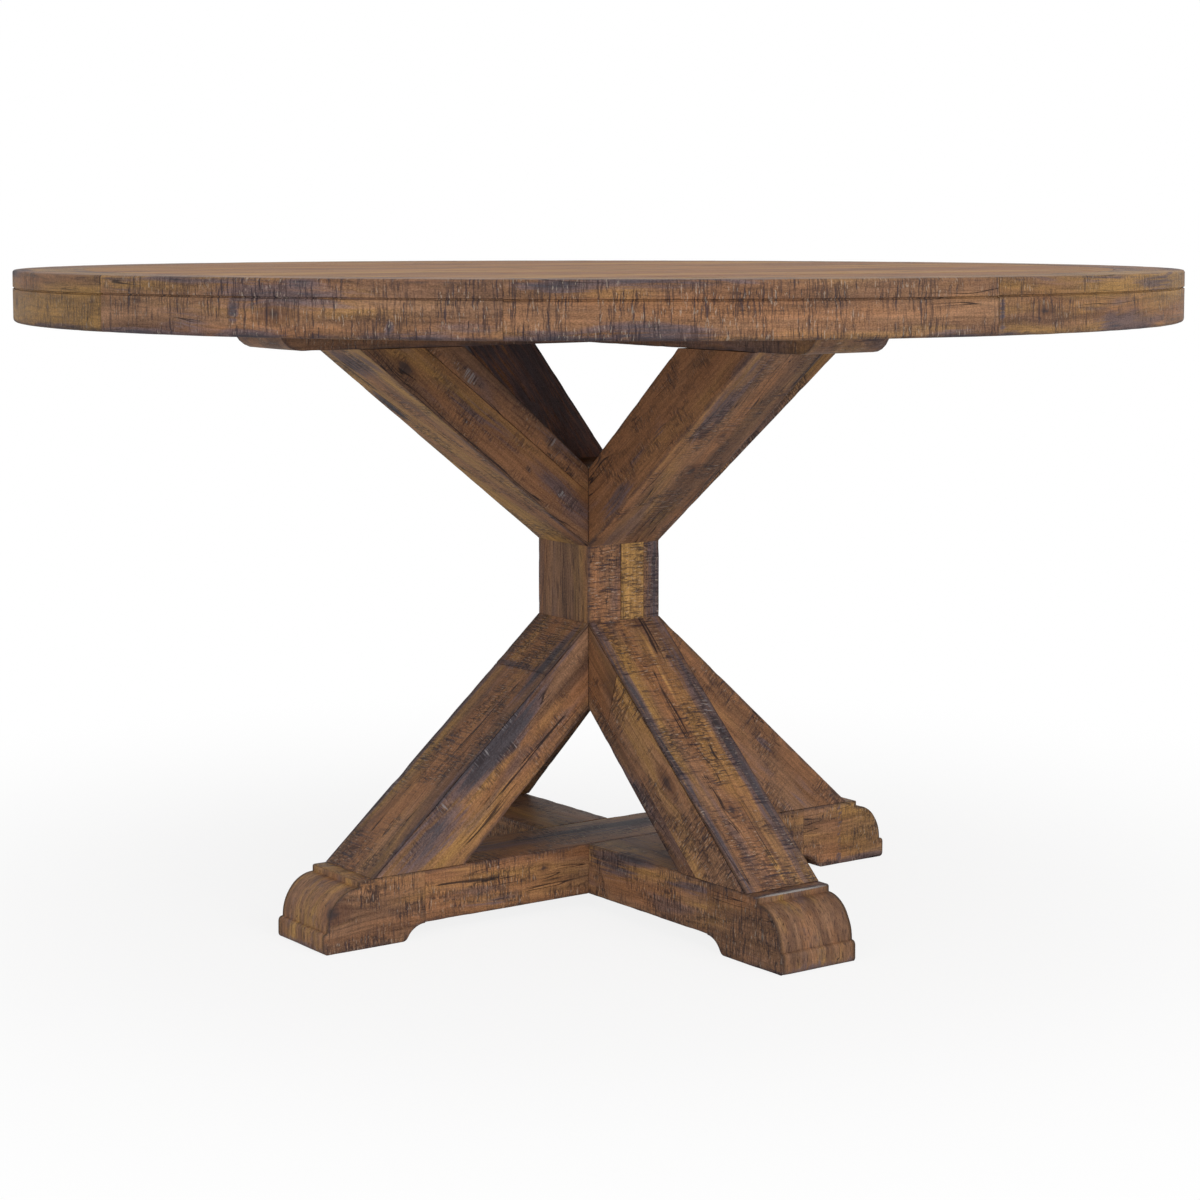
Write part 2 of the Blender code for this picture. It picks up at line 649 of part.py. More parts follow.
def build_table():
    top_wood = finish("top_wood", (0.30, 0.17, 0.09), 0.55)
    rim_wood = finish("rim_wood", (0.22, 0.125, 0.07), 0.62)
    base_wood = finish("base_wood", (0.19, 0.10, 0.055), 0.62)
    cleat_wood = finish("cleat_wood", (0.17, 0.09, 0.05), 0.66)
    steel = finish("zinc_steel", (0.55, 0.56, 0.58), 0.35, 1.0)
    brass = finish("insert_brass", (0.62, 0.48, 0.22), 0.35, 1.0)
    nylon = finish("glide_nylon", (0.03, 0.03, 0.032), 0.5)
    build_rim(rim_wood)
    build_planks(top_wood)
    build_cleats(cleat_wood)
    build_post(base_wood)
    build_arms(base_wood)
    build_legs(base_wood)
    build_beams(base_wood)
    build_hardware(steel, brass, nylon)


clear_scene()
PARTS = new_collection("round_pedestal_table")
CUTTERS = new_collection("cutters")
ORIGIN = bpy.data.objects.new("table_origin", None)
PARTS.objects.link(ORIGIN)
build_table()
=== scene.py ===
# %% [markdown]
# # A rustic round pedestal table
# A plank top in a segmented rim stands on a crossed timber base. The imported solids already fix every
# place and size, so this lesson only dresses them. Each timber is built again as a maker glues it up,
# from boards with worn arrises, and gets a stained, saw-marked finish that follows its own grain.

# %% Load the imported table
import math

import bmesh
import bpy
import numpy as np
from mathutils import Matrix, Vector, noise


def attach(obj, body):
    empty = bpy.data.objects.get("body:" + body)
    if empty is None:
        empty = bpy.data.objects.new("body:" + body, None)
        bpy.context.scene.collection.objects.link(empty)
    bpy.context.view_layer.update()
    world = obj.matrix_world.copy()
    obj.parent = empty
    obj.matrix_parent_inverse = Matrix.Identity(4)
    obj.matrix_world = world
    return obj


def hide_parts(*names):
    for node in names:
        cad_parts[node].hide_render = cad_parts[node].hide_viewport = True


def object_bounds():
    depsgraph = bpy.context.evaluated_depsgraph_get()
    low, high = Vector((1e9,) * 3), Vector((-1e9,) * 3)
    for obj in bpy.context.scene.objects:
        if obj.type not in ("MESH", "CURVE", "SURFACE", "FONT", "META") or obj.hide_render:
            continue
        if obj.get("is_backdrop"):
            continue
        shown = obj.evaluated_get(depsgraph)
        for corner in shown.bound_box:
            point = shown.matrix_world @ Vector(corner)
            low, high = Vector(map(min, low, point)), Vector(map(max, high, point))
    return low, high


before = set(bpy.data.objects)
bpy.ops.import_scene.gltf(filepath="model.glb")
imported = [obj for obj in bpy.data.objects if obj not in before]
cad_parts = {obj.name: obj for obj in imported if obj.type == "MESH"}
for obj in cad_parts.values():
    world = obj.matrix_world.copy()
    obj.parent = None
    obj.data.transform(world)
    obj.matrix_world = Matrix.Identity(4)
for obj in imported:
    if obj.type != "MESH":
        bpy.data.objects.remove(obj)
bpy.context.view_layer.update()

# %% [markdown]
# ## Sizes
# The dressed pieces repeat the driving sizes of the solids, so that they sit where the solids sit. A
# timber is drawn by its side view: outer root, outer end, inner end and inner root, as (x, z) points
# of the timber that runs along +X. The other three are the same timber turned about the table's axis.

# %% Sizes that several pieces share, in metres
GAP = 0.0003
TOP_Z = 0.762
RIM_RADIUS, RIM_BOTTOM = 0.6856, 0.703
FIELD_RADIUS, PLANK_BOTTOM = 0.6058, 0.736
HALF = 0.052
ROOT = HALF + GAP
ARM_SPRING, POST_HEAD = 0.435, 0.530
LEG_SPRING, POST_FOOT = 0.344, 0.242
CLEAT_BOTTOM = 0.676
BEAM_TOP = 0.0785
BEARINGS = {"right": 0.0, "back": math.pi / 2, "left": math.pi, "front": 1.5 * math.pi}


def side_view(*corners):
    return [Vector(corner) for corner in corners]


ARM_OUTLINE = side_view((ROOT, ARM_SPRING), (0.3607, CLEAT_BOTTOM - GAP),
                        (0.2227, CLEAT_BOTTOM - GAP), (ROOT, POST_HEAD))
LEG_OUTLINE = side_view((ROOT, LEG_SPRING), (0.352, BEAM_TOP + GAP),
                        (0.2274, BEAM_TOP + GAP), (ROOT, POST_FOOT))
print("arm rises", round(ARM_OUTLINE[1].y - ARM_OUTLINE[0].y, 3), "m")
print("leg falls", round(LEG_SPRING - BEAM_TOP, 3), "m")

# %% [markdown]
# ## Shader maths
# A wood finish is a long sum of noises and masks. Written with nodes alone it can't be read, so one
# small class wraps a socket: arithmetic on it adds Math nodes, and one method adds any other node.

# %% A small language for shaders
class Wire:
    """One output socket of a material. Sums and products of wires add Math nodes."""

    def __init__(self, tree, socket=None):
        self.tree = tree
        self.socket = socket

    def node(self, kind, settings, inputs, output=0):
        made = self.tree.nodes.new(kind)
        for name, value in settings.items():
            setattr(made, name, value)
        for name, value in inputs.items():
            if isinstance(value, Wire):
                self.tree.links.new(value.socket, made.inputs[name])
            else:
                made.inputs[name].default_value = value
        return Wire(self.tree, made.outputs[output])

    def maths(self, operation, first, second):
        return self.node("ShaderNodeMath", {"operation": operation}, {0: first, 1: second})

    def __add__(self, other):
        return self.maths("ADD", self, other)

    def __sub__(self, other):
        return self.maths("SUBTRACT", self, other)

    def __rsub__(self, other):
        return self.maths("SUBTRACT", other, self)

    def __mul__(self, other):
        return self.maths("MULTIPLY", self, other)

    __radd__ = __add__
    __rmul__ = __mul__

    def larger(self, other):
        return self.maths("MAXIMUM", self, other)

    def size(self):
        return self.maths("ABSOLUTE", self, 0.0)

    def rise(self, low, high):
        """0 at low, 1 at high, with a smooth step between; low may be the larger one."""
        return self.node("ShaderNodeMapRange", {"interpolation_type": "SMOOTHSTEP"},
                         {"Value": self, "From Min": low, "From Max": high})

    def parts(self):
        made = self.node("ShaderNodeSeparateXYZ", {}, {0: self}).socket.node
        return [Wire(self.tree, socket) for socket in made.outputs]

    def over(self, colour, under):
        """This wire as a mask that lays one colour over another."""
        return self.node("ShaderNodeMix", {"data_type": "RGBA"}, {0: self, 6: under, 7: colour}, 2)

    def scaled(self, amount):
        return self.node("ShaderNodeVectorMath", {"operation": "SCALE"}, {0: self, "Scale": amount})

    def pushes(self, place, reach):
        """A place that this noise pushes about, by so much on each axis."""
        return self.node("ShaderNodeVectorMath", {"operation": "MULTIPLY_ADD"}, {0: self, 1: reach, 2: place})

    def stretched(self, along, across, shift=0.0):
        """Grain coordinates drawn out for a pattern of so many turns a metre along and across."""
        return self.node("ShaderNodeVectorMath", {"operation": "MULTIPLY_ADD"},
                         {0: self, 1: (along, across, across), 2: (shift, shift, shift)})

    def cloud(self, along, across, shift=0.0, detail=2.0, roughness=0.5):
        """Noise on the stretched coordinates."""
        place = self.stretched(along, across, shift)
        return self.node("ShaderNodeTexNoise", {}, {"Vector": place, "Scale": 1.0, "Detail": detail,
                                                    "Roughness": roughness}, "Fac")

    def feed(self, shader, name):
        self.tree.links.new(self.socket, shader.inputs[name])


def stain(red, green, blue):
    """A colour given as on a paint card, 0 to 255, as linear light."""
    light = [((c / 255 + 0.055) / 1.055) ** 2.4 if c > 10 else c / 3300 for c in (red, green, blue)]
    return (*light, 1.0)


def blank_material(name):
    material = bpy.data.materials.new(name)
    material.use_nodes = True
    return material, material.node_tree.nodes["Principled BSDF"], Wire(material.node_tree)


print("shader helpers ready, mid grey is", [round(v, 3) for v in stain(128, 128, 128)])

# %% [markdown]
# ## What a board knows
# The real boards are reclaimed-looking hardwood: brown stain with orange and golden streaks, purple
# and blue-grey patches, dark saw cuts, crackle, checks, knots and dark worn arrises. An image of wood
# would repeat and couldn't follow curved boards, so the finish is worked out from four attributes that
# every board carries. "grain" is its own (along, across, through) place in metres. "tone" holds
# lightness, goldenness and saw cuts. "marks" holds the way to the nearest arris, the way to the
# nearest knot, and patches, which are stain and in a few places painted shade; a negative patch keeps
# its wood clear of stain. "lines" holds the way to the nearest crack, bright streaks (negative: a pale
# painted highlight) and warm wood (negative: a cluster of pale scratches).

# %% Attributes and grain patterns
# turns a metre along and across the grain, shift, detail, roughness
GRAIN_PATTERNS = {
    "broad": (1.8, 34.0, 0.0, 3.0, 0.55),
    "streak": (5.0, 115.0, 23.0, 3.0, 0.6),
    "fine": (13.0, 300.0, 3.0, 3.0, 0.65),
    "pores": (26.0, 430.0, 7.0),
    "blotch": (4.5, 22.0, 11.0, 4.0, 0.6),
    "shade": (4.5, 20.0, 37.0, 4.0, 0.62),
    "ochre": (2.6, 20.0, 47.0, 4.0, 0.55),
    "sway": (1.6, 9.0, 57.0),
    "check": (3.4, 60.0, 61.0),
    "check_area": (7.0, 22.0, 67.0),
    "split": (2.6, 150.0, 77.0, 2.0, 0.4),
}
WANDER = (0.0, 0.045, 0.045)
SPECK = (520.0, 780.0, 29.0, 1.0)


def read_board(start):
    """The wires of a board: its attributes and the patterns that follow its grain."""
    def attribute(label):
        return start.node("ShaderNodeAttribute", {"attribute_name": label}, {}, "Vector")

    board = {"grain": attribute("grain")}
    board["light"], board["gold"], board["saw"] = attribute("tone").parts()
    board["arris"], board["knot"], board["patch"] = attribute("marks").parts()
    board["crack"], board["bright"], board["warm"] = attribute("lines").parts()
    # the grain wanders, so its patterns are drawn on bent coordinates
    bent = board["grain"].cloud(2.6, 8.0).pushes(board["grain"], WANDER)
    for name, pattern in GRAIN_PATTERNS.items():
        board[name] = bent.cloud(*pattern)
    board["speck"] = board["grain"].cloud(*SPECK)
    return board


print("grain patterns", len(GRAIN_PATTERNS))

# %% [markdown]
# ## The ground colour
# A maker brushes on brown stain and wipes it off, and it stays in patches. The colour is built the
# same way: a brown ground, orange and golden wood where it took less stain, then purple and slate
# stain with tattered edges, and fine streaks and pores over everything. Where a patch is set as painted
# shade, the same purple and slate lay it, and a pale grey lays a painted highlight. Knots and worn
# arrises hold the most stain, so they come last.

# %% Brown ground, stain, knots and arrises
BROWN, DARK_BROWN = stain(133, 100, 75), stain(92, 67, 53)
ORANGE, GOLDEN = stain(140, 97, 65), stain(156, 120, 68)
PURPLE, SLATE = stain(92, 77, 78), stain(56, 56, 62)
# the pale grey on this line is a painted highlight
BRIGHT_STREAK, PAINTED_HIGHLIGHT = stain(186, 142, 84), stain(168, 164, 160)
PORE, ARRIS_STAIN = stain(58, 42, 38), stain(52, 46, 50)
KNOT_RING, KNOT_HEART = stain(86, 58, 46), stain(50, 44, 46)
RINGS_A_METRE, RING_SWAY = 330.0, 30.0


def ground_colour(board, wear):
    blotch, streak, fine, patch, bright = (board[k] for k in ("blotch", "streak", "fine", "patch", "bright"))
    colour = board["broad"].rise(0.28, 0.72).over(BROWN, DARK_BROWN)
    colour = ((blotch + board["warm"] * 0.25).rise(0.42, 0.74) * 0.70).over(ORANGE, colour)
    colour = ((board["ochre"] + board["gold"] * 0.24).rise(0.50, 0.76) * 0.75).over(GOLDEN, colour)

    tatter = (blotch - 0.5) * 0.8 + (streak - 0.5) * 0.7 + (fine - 0.5) * 0.9
    stained = (board["shade"] + patch.rise(0.0, -1.0) * 0.3).rise(0.47, 0.33)
    # patches lay purple and slate stain, and on the back arm, the beam tops and the front foot's shelf,
    # painted shade
    purple = stained * (0.75 * wear) + (patch * (tatter * 2.6 + 1.0)).rise(0.25, 0.75)
    colour = (purple.rise(0.0, 1.0) * 0.85).over(PURPLE, colour)
    slate = (patch * (tatter * 2.0 + 1.0)).rise(0.60, 1.0)
    colour = (slate * 0.82).over(SLATE, colour)
    board["purple"] = purple

    _, across, through = board["grain"].parts()
    phase = (across + through * 0.7) * RINGS_A_METRE + board["sway"] * RING_SWAY
    rings = phase.maths("SINE", phase, 0.0)
    colour = colour.scaled(streak * 0.9 + fine * 1.2 + board["speck"] * 1.30 + rings * 0.05 - 0.70)
    colour = (bright * (streak * 1.4 + 0.1)).rise(0.2, 0.9).over(BRIGHT_STREAK, colour)
    # a negative bright mark lays a pale painted highlight
    colour = bright.rise(-0.35, -0.8).over(PAINTED_HIGHLIGHT, colour)
    open_pores = board["saw"].rise(0.0, -0.3) * 0.42 + 0.24
    return (board["pores"].rise(0.55, 0.64) * open_pores).over(PORE, colour)


def knots_and_arrises(board, colour, wear):
    ragged = board["knot"] + (board["fine"] - 0.5) * 0.7 + (board["blotch"] - 0.5) * 0.8
    colour = (ragged.rise(1.7, 0.8) * 0.45).over(KNOT_RING, colour)
    colour = (ragged.rise(0.80, 0.35) * 0.75).over(KNOT_HEART, colour)
    torn = board["grain"].cloud(40.0, 70.0, 5.0, 4.0, 0.7) - 0.5
    near = (board["arris"] + torn * 0.016).rise(0.0050, -0.0005)
    return (near * 0.75 * wear).over(ARRIS_STAIN, colour)


print("ground colours", [round(v, 3) for v in BROWN], [round(v, 3) for v in DARK_BROWN])

# %% [markdown]
# ## Saw cuts, crackle and checks
# A coarse saw left cuts across the grain: a dense fine hatch, patches of thin cuts and a few deep
# ones, with pale flecks among them. The dried finish crackles into a fine net, and the
# wood itself checks along the grain. All of them are noises that are cut off high up. The coordinates
# are nudged by a second noise first, because straight cuts look printed.

# %% Marks of the saw and of age
HATCH_INK, CUT_INK, FLECK = stain(56, 43, 43), stain(44, 38, 47), stain(172, 158, 142)
CRACKLE_INK, CHECK_INK = stain(42, 34, 34), stain(36, 29, 30)
SCRATCH_INK, SCRATCH_PALE = stain(44, 38, 40), stain(142, 138, 138)
JAG = (0.0030, 0.0, 0.0)
SAW_PATTERNS = {
    "hatch": (470.0, 38.0, 13.0, 2.0, 0.6),
    "thin": (400.0, 28.0, 31.0, 2.0, 0.6),
    "deep": (250.0, 24.0, 51.0, 2.0, 0.6),
    "fleck": (560.0, 110.0, 71.0),
}


def saw_marks(board, colour, cuts, craze):
    grain, saw = board["grain"], board["saw"]
    jag = grain.cloud(30.0, 120.0, 91.0, 3.0, 0.6)
    sawn_at = jag.pushes(grain, JAG)
    hatch, thin, deep, fleck = (sawn_at.cloud(*pattern) for pattern in SAW_PATTERNS.values())
    area = grain.cloud(16.0, 24.0, 41.0, 3.0, 0.6)
    dense = (area + saw * 0.22 - 0.11).rise(0.42, 0.60)
    hatch = hatch.rise(0.50, 0.65) * (dense * 0.70 + 0.30) * (saw * 0.45 + 0.65).rise(0.0, 1.1)
    gouge = deep.rise(0.655, 0.69) * (dense * 0.7 + 0.3) * saw.rise(-0.4, 0.4)
    sawn = (thin.rise(0.615, 0.65) * dense).larger(gouge) * cuts

    net = grain.node("ShaderNodeTexVoronoi", {"feature": "DISTANCE_TO_EDGE"},
                     {"Vector": sawn_at.stretched(230.0, 75.0, 19.0), "Scale": 1.0}, "Distance")
    crazed = (area + jag * 0.5 - 0.25).rise(0.46, 0.60) * board["fine"].rise(0.38, 0.56)
    crackle = net.rise(0.19, 0.05) * crazed * saw.rise(-0.4, 0.5) * craze

    colour = (hatch * (0.70 * cuts)).over(HATCH_INK, colour)
    colour = crackle.over(CRACKLE_INK, colour)
    colour = (sawn * 0.78).over(CUT_INK, colour)
    colour = (fleck.rise(0.63, 0.68) * dense * (0.42 * cuts)).over(FLECK, colour)
    board.update(hatch=hatch, crackle=crackle, sawn=sawn)

    # clusters of short pale scratches, only where they are listed
    scratch = grain.cloud(380.0, 40.0, 17.0, 1.0)
    wounded = board["warm"].rise(-0.30, -0.75)
    colour = (scratch.rise(0.47, 0.40) * wounded * 0.8).over(SCRATCH_INK, colour)
    return (scratch.rise(0.58, 0.64) * wounded * 0.6).over(SCRATCH_PALE, colour)


def checks_along(board, colour):
    """Checks follow the grain; scattered ones come from noise, longer ones from given paths."""
    scattered = (board["check"] - 0.5).size().rise(0.009, 0.002) * board["check_area"].rise(0.54, 0.64)
    placed = (board["split"] - 0.5).size().rise(0.036, 0.012) * board["crack"].rise(0.0065, 0.0030)
    board["checks"] = scattered.larger(placed)
    return (board["checks"] * 0.88).over(CHECK_INK, colour)


print("saw patterns", len(SAW_PATTERNS))

# %% [markdown]
# ## Four woods
# The top is planed smooth and shows few marks, the rim and the base are rough-sawn, and the cleats
# are darker stock that hardly shows. One recipe makes all four, with amounts for each, so that they
# still look like one table. The marks feed the bump too, because real cuts catch the light.

# %% The stained, saw-marked woods
RELIEF = 0.001


def rustic_wood(name, lift, cuts, wear, craze, gloss):
    material, shader, start = blank_material(name)
    board = read_board(start)
    colour = ground_colour(board, wear)
    colour = knots_and_arrises(board, colour, wear)
    colour = saw_marks(board, colour, cuts, craze)
    colour = checks_along(board, colour)
    colour.scaled(board["light"] * lift).feed(shader, "Base Color")
    rough = (board["fine"] * 0.25 + 0.42) + board["purple"] * 0.06 - board["sawn"] * 0.10
    rough.feed(shader, "Roughness")
    shader.inputs["Specular IOR Level"].default_value = gloss
    grain_relief = board["fine"] * 0.35 + board["streak"] * 0.30
    height = grain_relief - board["hatch"] * (0.25 * cuts) - board["crackle"] * 0.5
    height = height - board["sawn"] * 0.7 - board["checks"] * 0.6
    bump = height.node("ShaderNodeBump", {}, {"Strength": 1.0, "Distance": RELIEF, "Height": height})
    bump.feed(shader, "Normal")
    return material


# lift of lightness, saw cuts, stain in patches and on arrises, crackle, gloss
WOOD_AMOUNTS = {
    "top_wood": (1.12, 0.4, 0.2, 0.0, 0.05),
    "rim_wood": (1.06, 0.94, 0.95, 0.3, 0.12),
    "base_wood": (1.22, 0.9, 0.8, 0.7, 0.14),
    "cleat_wood": (1.05, 0.7, 0.8, 0.3, 0.18),
}
WOODS = {name: rustic_wood(name, *amounts) for name, amounts in WOOD_AMOUNTS.items()}
print("wood finishes", {name: len(wood.node_tree.nodes) for name, wood in WOODS.items()})

# %% [markdown]
# ## From a board to a finished piece
# Boards are modelled with operators, then dressed in one step: the four attributes are written at
# every vertex, and the surface is worn back by a slow noise, most of all at the arrises. It only ever
# moves inwards, so that no board grows out of its solid. Marks are given in a board's own
# millimetres: a knot is (along, across, through, radius), a crack is a path of points, and a patch,
# bright streak or warm place is a soft ellipsoid, (along, across, through, radii, amount).

# %% Dress a board
MM = 1000
SAG_TURNS, BITE_TURNS, BITE_REACH = 22.0, 45.0, 0.007
TIMBER_WEAR = (0.0004, 0.0012)
NO_KNOT, NO_CRACK = 4.0, 0.05
KNOT_LENGTH, KNOT_BEND = 1.7, 0.8
SEED_STEP = np.array((1.37, 0.71, 0.53))
SKIN = 0.002


def smooth_noise(spots, scale, seed):
    shift = Vector((seed, 2.3 * seed, 0))
    return np.array([noise.noise(Vector(spot) * scale + shift) for spot in spots])


def coordinates(mesh):
    spots = np.empty(len(mesh.vertices) * 3)
    mesh.vertices.foreach_get("co", spots)
    return spots.reshape(-1, 3)


def way_to_path(spots, path):
    best = np.full(len(spots), 1.0)
    for first, last in zip(path, path[1:]):
        start, run = np.array(first), np.array(last) - np.array(first)
        share = np.clip(((spots - start) @ run) / max(run @ run, 1e-12), 0, 1)
        best = np.minimum(best, np.linalg.norm(spots - start - share[:, None] * run, axis=1))
    return best


def blobs(place, ellipsoids):
    """The strongest of the soft ellipsoids at every place."""
    level = np.zeros(len(place))
    for *centre, radii, amount in ellipsoids:
        far = np.linalg.norm((place - np.array(centre) / MM) / (np.array(radii) / MM), axis=1)
        value = amount * np.exp(-far ** 2)
        level = np.where(np.abs(value) > np.abs(level), value, level)
    return level


def wear_back(mesh, place, arris, seed, depth, chip):
    """Moves the surface inwards by up to depth all over, and by up to chip more at the arrises."""
    spots = coordinates(mesh)
    normals = np.empty(spots.size)
    mesh.vertex_normals.foreach_get("vector", normals)
    sag = depth * (0.5 + 0.5 * smooth_noise(place, SAG_TURNS, seed))
    bites = np.clip(smooth_noise(place, BITE_TURNS, seed + 9.0) - 0.1, 0, 1)
    bites *= np.clip(1 - arris / BITE_REACH, 0, 1)
    spots -= normals.reshape(-1, 3) * np.clip(sag + chip * bites, 0, None)[:, None]
    mesh.vertices.foreach_set("co", spots.ravel())
    mesh.update()


def dress(mesh, place, arris, tone, seed, marks, wear=TIMBER_WEAR):
    """Wears a board and returns it with its attributes; place and arris are (n, 3) and (n,) arrays."""
    wear_back(mesh, place, arris, seed, *wear)
    grain = place.copy()
    knot = np.full(len(place), NO_KNOT)
    for *centre, radius in marks.get("knots", ()):
        off = place - np.array(centre) / MM
        far = np.linalg.norm(off / (np.array((KNOT_LENGTH * radius, radius, radius)) / MM), axis=1)
        knot = np.minimum(knot, far)
        grain[:, 1:] -= off[:, 1:] * (KNOT_BEND * np.exp(-far ** 2 / 3))[:, None]
    crack = np.full(len(place), NO_CRACK)
    for path in marks.get("cracks", ()):
        crack = np.minimum(crack, way_to_path(place, np.array(path) / MM))
    grain[:, 2] += marks.get("skew", 0.0) * place[:, 0] * (np.abs(place[:, 2]) < HALF - SKIN)
    grain += SEED_STEP * seed
    patch, bright, warm = (blobs(place, marks.get(kind, ())) for kind in ("patches", "bright", "warm"))
    surface = np.stack((np.clip(arris, 0, 1), knot, patch), axis=1)
    lines = np.stack((crack, bright, warm), axis=1)
    return mesh, grain, np.broadcast_to(tone, grain.shape), surface, lines


print("a timber wears back by up to", round(sum(TIMBER_WEAR) * MM, 1), "mm")

# %% [markdown]
# ## Joining boards
# A maker glues the boards of one timber together, so they become one object, which rides on the table
# and takes the place of its solid. It could stay several objects, but one piece of the real table is
# one piece here too. Cutting long edges to a grid comes first, because the attributes and the wear
# need a vertex every few millimetres.

# %% Join boards to a piece, and three mesh helpers
CELL = 0.005
LONG_EDGE = 4 * CELL
SHARP = math.radians(40)


def finish_piece(node, boards, slot, turn=0.0):
    """One object from dressed boards, turned about the table's axis, in place of its solid."""
    bm = bmesh.new()
    for board in boards:
        bm.from_mesh(board[0])
    bmesh.ops.transform(bm, matrix=Matrix.Rotation(turn, 4, "Z"), verts=bm.verts)
    mesh = bpy.data.meshes.new(f"{node}_dressed")
    bm.to_mesh(mesh)
    bm.free()
    for number, label in enumerate(("grain", "tone", "marks", "lines"), start=1):
        values = np.concatenate([board[number] for board in boards]).astype(np.float32)
        mesh.attributes.new(label, "FLOAT_VECTOR", "POINT").data.foreach_set("vector", values.ravel())
    mesh.shade_smooth()
    mesh.set_sharp_from_angle(angle=SHARP)
    for board in boards:
        bpy.data.meshes.remove(board[0])
    piece = bpy.data.objects.new(f"{node}_dressed", mesh)
    bpy.context.scene.collection.objects.link(piece)
    mesh.materials.append(WOODS[slot])
    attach(piece, "table")
    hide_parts(node)
    print(piece.name, len(boards), "boards,", len(mesh.polygons), "faces")


def settle(bm, name):
    bmesh.ops.recalc_face_normals(bm, faces=bm.faces)
    mesh = bpy.data.meshes.new(name)
    bm.to_mesh(mesh)
    bm.free()
    return mesh


def bevel(bm, edges, width, segments):
    bmesh.ops.bevel(bm, geom=edges, offset=width, offset_type="OFFSET", segments=segments, profile=0.5,
                    affect="EDGES", clamp_overlap=True, material=-1)


def cut_edges(bm, wanted):
    """Cuts the long edges that wanted accepts into steps of about one cell."""
    edges = []
    for edge in bm.edges:
        run = edge.verts[1].co - edge.verts[0].co
        if run.length > LONG_EDGE and wanted(run.normalized()):
            edges.append(edge)
    if edges:
        longest = max(edge.calc_length() for edge in edges)
        bmesh.ops.subdivide_edges(bm, edges=edges, cuts=max(1, round(longest / CELL) - 1), use_grid_fill=True)


print("board helpers ready, a cell is", CELL * MM, "mm")

# %% [markdown]
# ## Timbers from glued boards
# The photo shows fine seams on the arms, legs and post: thick timbers are glued up from boards, and
# some boards are butted end to end. A timber is therefore a list of boards. Each is a cube whose
# corners go to their place in the side view, then its edges are bevelled and cut to a grid. A single
# block with painted lines would show no notch where a seam runs out at an arris.

# %% One glued board of a timber
ARRIS, SEAM_BEVEL = 0.0026, 0.0006
SEAM, BUTT = 0.0015, 0.0012
WHOLE, OUTER, INNER = (0, 1), (0, 0), (1, 1)


def glue_line(root, end):
    """Both faces at a glue line, at these shares of the timber's depth at its root and its end."""
    return (root - SEAM, end - SEAM), (root + SEAM, end + SEAM)


def butt_joint(share):
    """The spans of two boards that meet end to end, at this share of the timber's length."""
    return (0, share - BUTT), (share + BUTT, 1)


def in_outline(outline, along, depth):
    outer = outline[0].lerp(outline[1], along)
    inner = outline[3].lerp(outline[2], along)
    return outer.lerp(inner, depth)


def timber_board(outline, span, outer, inner):
    """A board from span[0] to span[1] along the timber; outer and inner give its faces at root and end."""
    bm = bmesh.new()
    bmesh.ops.create_cube(bm, size=1.0)
    outer_run, inner_run = [], []
    for edge in bm.edges:
        if edge.verts[0].co.x * edge.verts[1].co.x < 0:
            (outer_run if edge.verts[0].co.z < 0 else inner_run).append(edge)
    for vert in bm.verts:
        along = span[1] if vert.co.x > 0 else span[0]
        face = inner if vert.co.z > 0 else outer
        spot = in_outline(outline, along, face[0] + (face[1] - face[0]) * along)
        vert.co = (spot.x, math.copysign(HALF, vert.co.y), spot.y)
    worn = (outer_run if outer == OUTER else []) + (inner_run if inner == INNER else [])
    seams = [edge for edge in outer_run + inner_run if edge not in worn]
    if worn:
        bevel(bm, worn, ARRIS, 3)
    seams = [edge for edge in seams if edge.is_valid]
    if seams:
        bevel(bm, seams, SEAM_BEVEL, 1)
    axis = (outline[1] - outline[0]).normalized()
    axis = Vector((axis.x, 0, axis.y))
    cut_edges(bm, lambda run: abs(run.y) < 0.5 and abs(run.dot(axis)) > 0.95)
    cut_edges(bm, lambda run: abs(run.y) > 0.9)
    cut_edges(bm, lambda run: abs(run.y) < 0.5 and abs(run.dot(axis)) < 0.9)
    return settle(bm, "board")


def timber_place(mesh, outline):
    """Grain place of a timber's vertices and their way to its nearest long arris."""
    spots = coordinates(mesh)
    axis = (outline[1] - outline[0]).normalized()
    inward = Vector((-axis.y, axis.x))
    if inward.dot(outline[3] - outline[0]) < 0:
        inward = -inward
    from_root = spots[:, (0, 2)] - np.array(outline[0])
    along = from_root @ np.array(axis)
    deep = from_root @ np.array(inward)
    inner_axis = (outline[2] - outline[3]).normalized()
    inner_out = Vector((-inner_axis.y, inner_axis.x))
    left = np.abs((spots[:, (0, 2)] - np.array(outline[3])) @ np.array(inner_out))
    arris = np.maximum(HALF - np.abs(spots[:, 1]), np.minimum(np.abs(deep), left))
    return np.stack((along, deep, spots[:, 1]), axis=1), arris


def build_timber(node, outline, boards, turn, marks):
    made = []
    for span, outer, inner, side_tone, face_tone, seed in boards:
        mesh = timber_board(outline, span, outer, inner)
        place, arris = timber_place(mesh, outline)
        on_side = np.abs(place[:, 2]) > HALF - SKIN
        tone = np.where(on_side[:, None], side_tone, face_tone)
        made.append(dress(mesh, place, arris, tone, seed, marks))
    finish_piece(node, made, "base_wood", turn)


print("a glue line leaves", round(2 * SEAM * 100, 2), "mm in a 100 mm timber")
